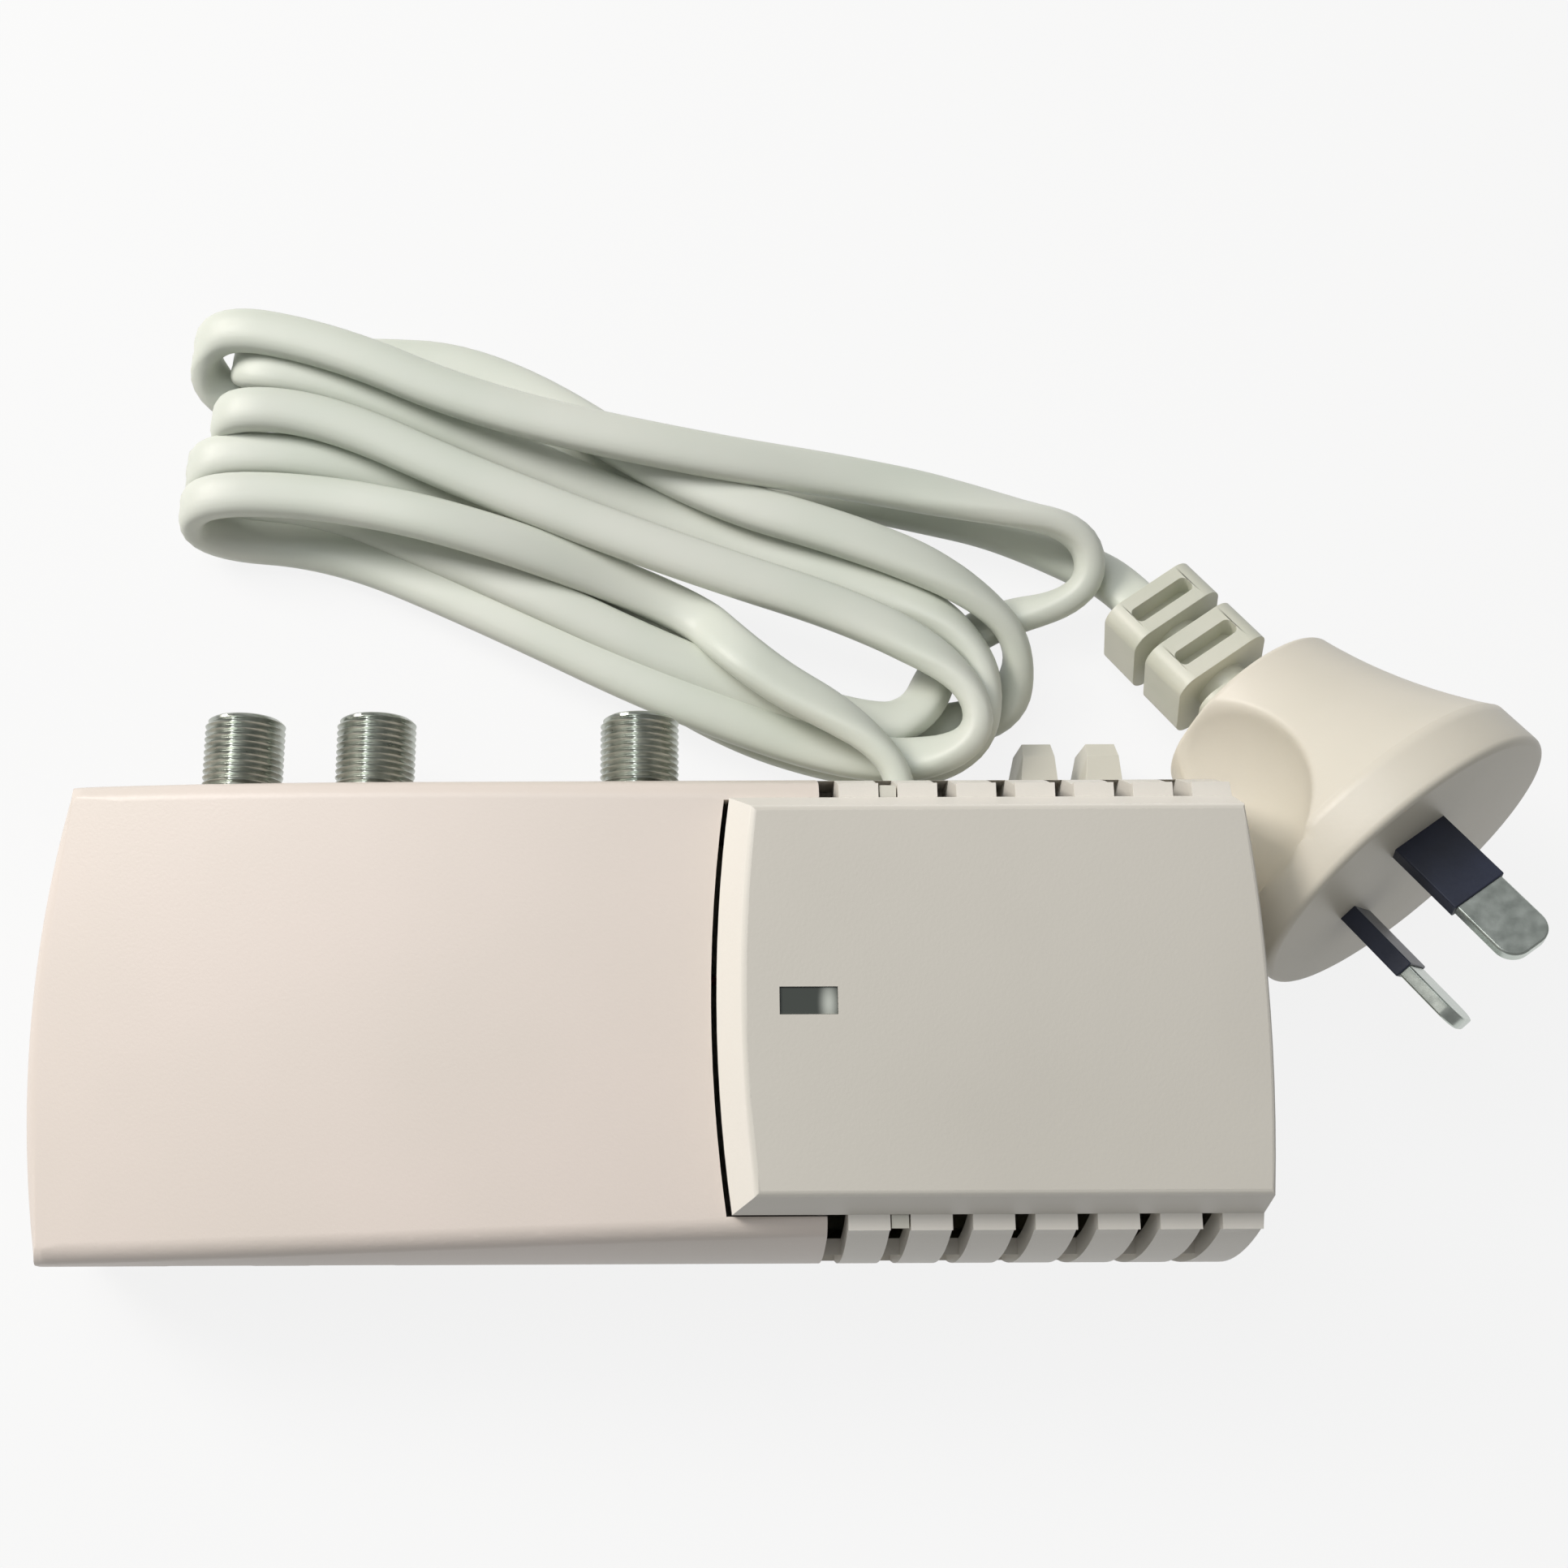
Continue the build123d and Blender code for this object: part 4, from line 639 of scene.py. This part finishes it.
# Bends at the right end: place along, place across, layer, edge
rightBends = [
    [(42.8, 33.8, 2.0, 0.7), (42.6, 42.2, 2.1, 0.7)],
    [(42.8, 34.2, 1.0, 0.5), (45.6, 43.6, 1.28, 0.8), (40.4, 51.8, 1.28, 0.5)],
    [(42.6, 55.8, 1.5, 0.5), (49.8, 49.2, 0.95, 0.8), (48.2, 41.0, 0.0, 0.25), (40.0, 39.2, 0.0, 0.1)],
    [
        (36.2, 39.6, 1.0, 0.4),
        (39.2, 46.5, 0.25, 0.5),
        (44.6, 53.0, 0.08, 0.3),
        (58.8, 55.2, 0.8, 0.8),
        (58.4, 63.4, 1.5, 0.9),
        (46.0, 66.4, 1.6, 0.5),
    ],
]
# How the plug lies: the middle of its face, where its face points, and how far that is tipped up
plugPose = {
    "faceCentre": (90.0, 16.6, 21.3),
    "heading": -56.2,
    "tilt": 18.0,
    "bodyLength": 27.0,
    "reliefLength": 19.3,
    "straightCord": 6.0,
}
heading = math.radians(plugPose["heading"])
tilt = math.radians(plugPose["tilt"])
plugAxis = Vector((math.cos(tilt) * math.cos(heading), math.cos(tilt) * math.sin(heading), math.sin(tilt)))
faceCentre = Vector(plugPose["faceCentre"])
reliefEnd = faceCentre - plugAxis * (plugPose["bodyLength"] + plugPose["reliefLength"])
plugRoute = [
    (38.0, 68.9, floorLayer, 0.0),
    (46.0, 67.0, floorLayer, 0.0),
    (52.8, 64.2, floorLayer, 0.0),
    (58.4, 61.2, 2.5, 0.0),
    (*(reliefEnd - plugAxis * plugPose["straightCord"]), 0.0),
    (*reliefEnd, 0.0),
]


# A row's stations from right to left or from left to right, then its fold or bend, until the cord
# is used up
def hankRoute():
    rows = list(runRows.values())
    route = [hankCorner]
    for index, (reach, upperY, upperLayer, lowerY, lowerLayer) in enumerate(leftFolds):
        for row, leftwards in ((rows[2 * index], True), (rows[2 * index + 1], False)):
            points = [
                (x, y, layerHeight(layer), 0.0)
                for x, y, layer in zip(stationXs, *row)
                if y is not None
            ]
            route += points[::-1] if leftwards else points
            if leftwards:
                route.append((reach, upperY, layerHeight(upperLayer), 0.0))
                route.append((reach, lowerY, layerHeight(lowerLayer), 0.0))
        if index < len(rightBends):
            route += [(x, y, layerHeight(layer), edge) for x, y, layer, edge in rightBends[index]]
    return route


# The smooth line that a NURBS spline of order 3 makes from its control points
def splineLine(name, controls):
    data = bpy.data.curves.new(name, "CURVE")
    data.dimensions = "3D"
    data.resolution_u = cord["smoothness"]
    spline = data.splines.new("NURBS")
    spline.points.add(len(controls) - 1)
    spline.points.foreach_set("co", [c for point in controls for c in (*point, 1.0)])
    spline.order_u = 3
    spline.use_endpoint_u = True
    holder = addObject(name, data)
    mesh = finishedMesh(holder)
    line = vertexPlaces(mesh)
    bpy.data.objects.remove(holder)
    bpy.data.curves.remove(data)
    bpy.data.meshes.remove(mesh)
    return line


fullRoute = exitRoute + hankRoute() + plugRoute
routePoints = np.array([point[:3] for point in fullRoute])
edges = np.array([point[3] for point in fullRoute])
# The wide side of the cord lies level and across its run, and turns upright as it stands on its
# edge. Where the run has too little level reach to say what is across, it points to the front
chords = np.gradient(routePoints, axis=0)
level = np.stack([-chords[:, 1], chords[:, 0], np.zeros(len(chords))], axis=1)
level /= np.linalg.norm(level, axis=1)[:, None] + 1e-9
level *= np.where(level[:, 1] > 0, -1, 1)[:, None]
level[np.linalg.norm(chords[:, :2], axis=1) < cord["levelReach"]] = (0, -1, 0)
wideWay = level * (1 - edges)[:, None] + np.array([0, 0, 1]) * edges[:, None]

# The centre line is walked in even steps, and the wide side is taken square to it
centreLine = splineLine("cordLine", routePoints * mm)
wideLine = splineLine("cordSide", wideWay)
lengths = np.concatenate([[0], np.cumsum(np.linalg.norm(np.diff(centreLine, axis=0), axis=1))])
stations = np.linspace(0, lengths[-1], int(lengths[-1] / (cord["step"] * mm)))
line = np.stack([np.interp(stations, lengths, centreLine[:, k]) for k in range(3)], axis=1)
wide = np.stack([np.interp(stations, lengths, wideLine[:, k]) for k in range(3)], axis=1)
tangent = np.gradient(line, axis=0)
tangent /= np.linalg.norm(tangent, axis=1)[:, None]
wide -= tangent * (wide * tangent).sum(axis=1)[:, None]
wide /= np.linalg.norm(wide, axis=1)[:, None]
thin = np.cross(tangent, wide)
# Section: a superellipse, half width times cosine and half thickness times sine, each to the
# power 2 / squareness
around = np.linspace(0, 2 * np.pi, cord["around"], endpoint=False)
power = 2 / cord["squareness"]
across = cord["width"] / 2 * mm * np.sign(np.cos(around)) * np.abs(np.cos(around)) ** power
deep = cord["thickness"] / 2 * mm * np.sign(np.sin(around)) * np.abs(np.sin(around)) ** power
# The saddle in the case squeezes the wide side a little, less and less over the pinch length
pinch = 1 - cord["pinch"] * np.clip(1 - stations / (cord["pinchLength"] * mm), 0, 1)
wide = wide * pinch[:, None]
cordPoints = line[:, None] + wide[:, None] * across[None, :, None] + thin[:, None] * deep[None, :, None]
cordMesh = gridMesh("mains_cord", cordPoints, closeColumns=True, caps=True)
mainsCord = addPiece("mains_cord", cordMesh, cordPvc, cord["sharpAngle"])
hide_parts("cord_exit_run", "cord_hank", "cord_plug_run")
lowest = float(cordPoints[..., 2].min())
print("cord made, length", round(float(lengths[-1]), 4), "lowest", round(lowest, 5))


# The covers' end walls: where the lean begins, over what length it grows, its heights, and its amounts
ends = {
    "from": 64.0,
    "over": 3.0,
    "foot": 9.0,
    "leftTop": 21.0,
    "rightTop": 34.0,
    "left": 0.75,
    "leftCorner": 1.1,
    "right": 0.95,
    "halfWidth": 27.4,
}


# The end walls lean inwards as they rise, by a share of the way up, and on the left more towards
# the corners
def leanEnds(p):
    e = ends
    x, y, z = p[:, 0], p[:, 1], p[:, 2]
    nearEnd = np.clip((np.abs(x) - e["from"]) / e["over"], 0, 1)
    leftRise = np.clip((z - e["foot"]) / (e["leftTop"] - e["foot"]), 0, 1)
    rightRise = np.clip((z - e["foot"]) / (e["rightTop"] - e["foot"]), 0, 1)
    leftLean = leftRise * (e["left"] + e["leftCorner"] * (y / e["halfWidth"]) ** 2)
    x = x + nearEnd * np.where(x < 0, leftLean, -rightRise * e["right"])
    return np.stack([x, y, z], axis=1)


# The lugs: the box they stand in on the rear case, and how much they gain and shift
lugs = {"wall": 26.6, "reach": 33.2, "longer": 2.0, "shift": 1.5, "left": 44.0, "right": 62.0, "top": 9.2}


# The lugs stand a little further along the wall and reach a little further, by each point's share
# of the way out
def longerLugs(p):
    g = lugs
    x, y, z = p[:, 0], p[:, 1], p[:, 2]
    out = np.clip((y - g["wall"]) / (g["reach"] - g["wall"]), 0, 1)
    onLug = (x > g["left"]) & (x < g["right"]) & (z < g["top"]) & (y > g["wall"])
    return np.stack([x + onLug * g["shift"], y + onLug * out * g["longer"], z], axis=1)


# On the front, the web between each upper vent slot and the groove below it is cut away: each is
# one long slot
vents = {
    "first": 21.5,
    "pitch": 6.45,
    "count": 7,
    "width": 2.1,
    "low": 21.99,
    "high": 27.66,
    "inner": 25.64,
    "outer": 28.5,
}
ventCuts = []
for index in range(vents["count"]):
    left = vents["first"] + index * vents["pitch"]
    right = left + vents["width"]
    ventCuts.append(((left, -vents["outer"], vents["low"]), (right, -vents["inner"], vents["high"])))
lidRim = {"height": 37.5, "middle": (20.0, 0.0), "distance": 7.0, "width": 0.45}

# Covers, case and small parts of the plug: the CAD shells, smoothed, with their edges eased
easedMain = easedCopy("main_cover", coverAbs, shape=leanEnds)
easedLid = easedCopy("psu_cover", lidAbs, shape=leanEnds, cuts=ventCuts, softRim=lidRim)
easedRear = easedCopy("rear_case", rearAbs, shape=longerLugs)
easedPins = easedCopy("plug_pins", pinNickel, sharpAngle=40.0, ease=0.2)
easedSleeves = easedCopy("pin_sleeves", sleeveNylon, sharpAngle=40.0, ease=0.15)
easedRelief = easedCopy("plug_relief", reliefPvc, sharpAngle=40.0, ease=0.35)
print("covers and case made")


# Sockets: a rolled thread on a plated body, bored out for the insulator; the hexagon nut is
# hidden in the case
socket = {
    "places": {"input": -47.0, "loop": -31.0, "output": 1.0},
    "height": 14.5,
    "back": 21.5,
    "tip": 36.7,
    "threadStart": 27.4,
    "threadRunIn": 0.4,
    "threadRadius": 4.7625,
    "threadDepth": 0.42,
    "pitch": 0.794,
    "rowsPerPitch": 6,
    "flankSteepness": 1.4,
    "crestFlat": 0.2,
    "neck": 4.3,
    "nutThickness": 2.5,
    "nutFlats": 11.0,
    "tailRadius": 3.4,
    "tailLength": 2.6,
    "bore": 2.7,
    "frontBore": 3.5,
    "boreDepth": 4.4,
    "chamfer": 0.5,
    "lip": 0.15,
    "around": 64,
    "sharpAngle": 42.0,
}


# Rows run from the tail's bore round the outside to the front bore. The last value of a row is
# its kind: 0 round, 1 thread, 2 hexagon. The thread's radius falls and rises with the distance
# along it minus a turn's share of the pitch, so the crest is one helix; the hexagon's is its
# flat's divided by the cosine of the turn from that flat.
def socketMesh(name, x):
    s = socket
    nutFront = s["back"] + s["nutThickness"]
    tailEnd = s["back"] - s["tailLength"]
    boreEnd = s["tip"] - s["boreDepth"]
    threadRows = np.arange(
        s["threadStart"] + s["threadRunIn"], s["tip"] - s["chamfer"], s["pitch"] / s["rowsPerPitch"]
    )
    outline = [
        (tailEnd, s["bore"], 0),
        (tailEnd, s["tailRadius"], 0),
        (s["back"], s["tailRadius"], 0),
        (s["back"], s["nutFlats"] / 2, 2),
        (nutFront, s["nutFlats"] / 2, 2),
        (nutFront, s["neck"], 0),
        (s["threadStart"], s["neck"], 0),
        (s["threadStart"] + 0.05, s["threadRadius"] - s["lip"], 0),
    ]
    outline += [(float(y), s["threadRadius"], 1) for y in threadRows]
    outline += [
        (s["tip"] - s["chamfer"] * 0.5, s["threadRadius"] - s["chamfer"] * 0.6, 0),
        (s["tip"], s["threadRadius"] - s["chamfer"] * 1.3, 0),
        (s["tip"], s["frontBore"] + s["lip"], 0),
        (s["tip"] - s["lip"], s["frontBore"], 0),
        (boreEnd, s["frontBore"], 0),
        (boreEnd, s["bore"], 0),
    ]
    along, radius, kind = np.array(outline).T[..., None]
    turn = np.linspace(0, 2 * np.pi, s["around"], endpoint=False)[None]
    wave = (along / s["pitch"] - turn / (2 * np.pi)) % 1.0
    groove = s["threadDepth"] * np.clip(s["flankSteepness"] * np.abs(2 * wave - 1) - s["crestFlat"], 0, 1)
    hexagon = 1 / np.cos((turn % (np.pi / 3)) - np.pi / 6)
    reach = radius - groove * (kind == 1) + radius * (hexagon - 1) * (kind == 2)
    points = np.stack(
        [x + reach * np.cos(turn), along + 0 * turn, s["height"] + reach * np.sin(turn)], axis=-1
    ) * mm
    return gridMesh(name, points[::-1], closeRows=True, closeColumns=True)


for name, x in socket["places"].items():
    piece = addPiece(name + "_socket", socketMesh(name + "_socket", x), socketNickel, socket["sharpAngle"])
    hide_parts(name + "_socket_body")
print("sockets made")


# Plug: a turned body with a round face and a waist, cut back where two finger dishes reach in.
# Shares are of the body's length; the dish's floor is its distance from the axis
plug = {
    "faceRadius": 20.05,
    "faceRings": (6.0, 12.0),
    "rim": 6.2,
    "rimFrom": 2.0,
    "rimEdge": 0.2,
    "rimRows": 5,
    "rimStep": 0.15,
    "stepEdge": 0.05,
    "waist": 15.0,
    "waistShare": 0.62,
    "rear": 12.2,
    "rearRing": 6.0,
    "middle": 0.02,
    "faceRound": 0.9,
    "rearRound": 0.9,
    "roundRows": 8,
    "dishRadius": 15.0,
    "dishFloor": 9.6,
    "dishPlaceShare": 0.7,
    "dishHeading": 143.0,
    "dishSoft": 1.1,
    "around": 240,
    "rows": 170,
    "sharpAngle": 50.0,
}


# Circle through three points of the profile, behind the rim, at the waist and at the rear: its
# radius at a depth
def waistRadius(depth):
    p = plug
    a = np.array([p["rim"], p["faceRadius"] - p["rimStep"]])
    b = np.array([plugPose["bodyLength"] * p["waistShare"], p["waist"]])
    c = np.array([plugPose["bodyLength"], p["rear"]])
    d = 2 * (a[0] * (b[1] - c[1]) + b[0] * (c[1] - a[1]) + c[0] * (a[1] - b[1]))
    ux = ((a @ a) * (b[1] - c[1]) + (b @ b) * (c[1] - a[1]) + (c @ c) * (a[1] - b[1])) / d
    uy = ((a @ a) * (c[0] - b[0]) + (b @ b) * (a[0] - c[0]) + (c @ c) * (b[0] - a[0])) / d
    big = math.hypot(a[0] - ux, a[1] - uy)
    return uy - np.sqrt(np.maximum(big ** 2 - (depth - ux) ** 2, 0))


# Rows of depth and radius, from the middle of the face over the rim and the waist to the middle
# of the rear; each rounded corner is a quarter circle
def plugProfile():
    p = plug
    length = plugPose["bodyLength"]
    rearFrom = length - p["rearRound"]
    corner = np.linspace(0, np.pi / 2, p["roundRows"])
    behind, inward = 1 - np.sin(corner), 1 - np.cos(corner)
    body = np.linspace(p["rim"], rearFrom, p["rows"])
    faceArc = np.stack([p["faceRound"] * behind, p["faceRadius"] - p["faceRound"] * inward], axis=1)
    rearArc = np.stack(
        [length - p["rearRound"] * behind, waistRadius(rearFrom) - p["rearRound"] * inward], axis=1
    )
    rimDepths = np.linspace(p["rimFrom"], p["rim"] - p["rimEdge"], p["rimRows"])
    return np.concatenate([
        [(0.0, radius) for radius in (p["middle"], *p["faceRings"])],
        faceArc[::-1],
        [(depth, p["faceRadius"]) for depth in rimDepths],
        [(p["rim"] - p["stepEdge"], p["faceRadius"] - p["rimStep"])],
        np.stack([body, waistRadius(body)], axis=1),
        rearArc[1:],
        [(length, p["rearRing"]), (length, p["middle"])],
    ])


# Depth behind the face against turn: the radius is the profile's, or where it is less, the
# distance at which a ray from the axis meets the dish's sphere; the two are blended over a short
# width so that the dish has a soft lip
def plugMesh():
    p = plug
    depth, radius = plugProfile().T[..., None]
    turn = np.linspace(0, 2 * np.pi, p["around"], endpoint=False)[None]
    fromAxis = p["dishFloor"] + p["dishRadius"]
    away = fromAxis ** 2 + (depth - plugPose["bodyLength"] * p["dishPlaceShare"]) ** 2
    missed = 99.0
    for flip in (0, 180):
        ray = np.cos(turn - math.radians(p["dishHeading"] + flip)) * fromAxis
        inside = ray ** 2 - (away - p["dishRadius"] ** 2)
        meet = np.where((inside > 0) & (ray > 0), ray - np.sqrt(np.maximum(inside, 0)), missed)
        gap = np.clip((radius - meet) / p["dishSoft"] * 0.5 + 0.5, 0, 1)
        blended = radius * (1 - gap) + meet * gap - p["dishSoft"] * gap * (1 - gap)
        radius = np.where(meet < missed, np.minimum(blended, radius), radius)
    side = Vector((-plugAxis.y, plugAxis.x, 0)).normalized()
    basis = np.array([side, plugAxis.cross(side), plugAxis])
    local = np.stack([radius * np.cos(turn), radius * np.sin(turn), -depth + 0 * turn], axis=-1)
    return gridMesh("plug_shell", (np.array(faceCentre) + local @ basis) * mm, closeColumns=True, caps=True)


plugShell = addPiece("plug_shell", plugMesh(), plugPvc, plug["sharpAngle"])
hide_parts("plug_body")
print("plug made")


# Floor: a wide sheet of pale paper that takes shadows. What the camera sees of it, itself or in a
# glossy or clear piece, glows by a share, so it is as bright as the world beside it
floor = {"reach": 9.0, "paper": "#CFCFCD", "glow": "#FFFFFF", "glowShare": 0.86}
sides = (-floor["reach"], floor["reach"])
floorMesh = gridMesh("floor", np.array([[(x, y, 0.0) for x in sides] for y in sides]))
floorObject = addObject("floor", floorMesh)
floorPaper, tree = newMaterial("floorPaper")
rays = addNode(tree, "ShaderNodeLightPath")
seen = rays.outputs["Is Camera Ray"]
for ray in ("Is Glossy Ray", "Is Transmission Ray"):
    either = addNode(tree, "ShaderNodeMath", {"operation": "MAXIMUM"}, {0: seen, 1: rays.outputs[ray]})
    seen = either.outputs[0]
share = addNode(tree, "ShaderNodeMath", {"operation": "MULTIPLY"}, {0: seen, 1: floor["glowShare"]})
paper = addNode(tree, "ShaderNodeBsdfDiffuse", inputs={"Color": linearColour(floor["paper"])})
glow = addNode(tree, "ShaderNodeEmission", inputs={"Color": linearColour(floor["glow"]), "Strength": 1.0})
mixed = addNode(
    tree,
    "ShaderNodeMixShader",
    inputs={0: share.outputs[0], 1: paper.outputs[0], 2: glow.outputs[0]},
)
addNode(tree, "ShaderNodeOutputMaterial", inputs={"Surface": mixed.outputs[0]})
floorMesh.materials.append(floorPaper)

# Two round lamps aimed at the middle of the floor; places and sizes are metres
lights = {
    "key": {"place": (-0.52, 0.34, 0.44), "size": 0.3, "power": 3.75, "colour": "#FFF9F3"},
    "top": {"place": (-0.26, 0.34, 0.7), "size": 0.5, "power": 2.1, "colour": "#F8FBFF"},
}
for name, values in lights.items():
    data = bpy.data.lights.new(name, "AREA")
    data.shape = "DISK"
    data.size = values["size"]
    data.energy = values["power"]
    data.color = linearColour(values["colour"])[:3]
    lamp = addObject(name, data)
    lamp.location = values["place"]
    lamp.rotation_euler = (-Vector(values["place"])).to_track_quat("-Z", "Y").to_euler()

# World: plain white, full to the camera and dimmer as light on the object
sky = {"tone": "#FFFFFF", "asLight": 0.27, "asSeen": 1.0}
world = bpy.data.worlds.new("world")
bpy.context.scene.world = world
world.use_nodes = True
tree = world.node_tree
tree.nodes.clear()
rays = addNode(tree, "ShaderNodeLightPath")
strength = addNode(
    tree,
    "ShaderNodeMapRange",
    inputs={"Value": rays.outputs["Is Camera Ray"], "To Min": sky["asLight"], "To Max": sky["asSeen"]},
)
background = addNode(
    tree,
    "ShaderNodeBackground",
    inputs={"Color": linearColour(sky["tone"]), "Strength": strength.outputs["Result"]},
)
addNode(tree, "ShaderNodeOutputWorld", inputs={"Surface": background.outputs[0]})
bpy.context.scene.view_settings.view_transform = "Standard"
print("floor, lamps and world made")
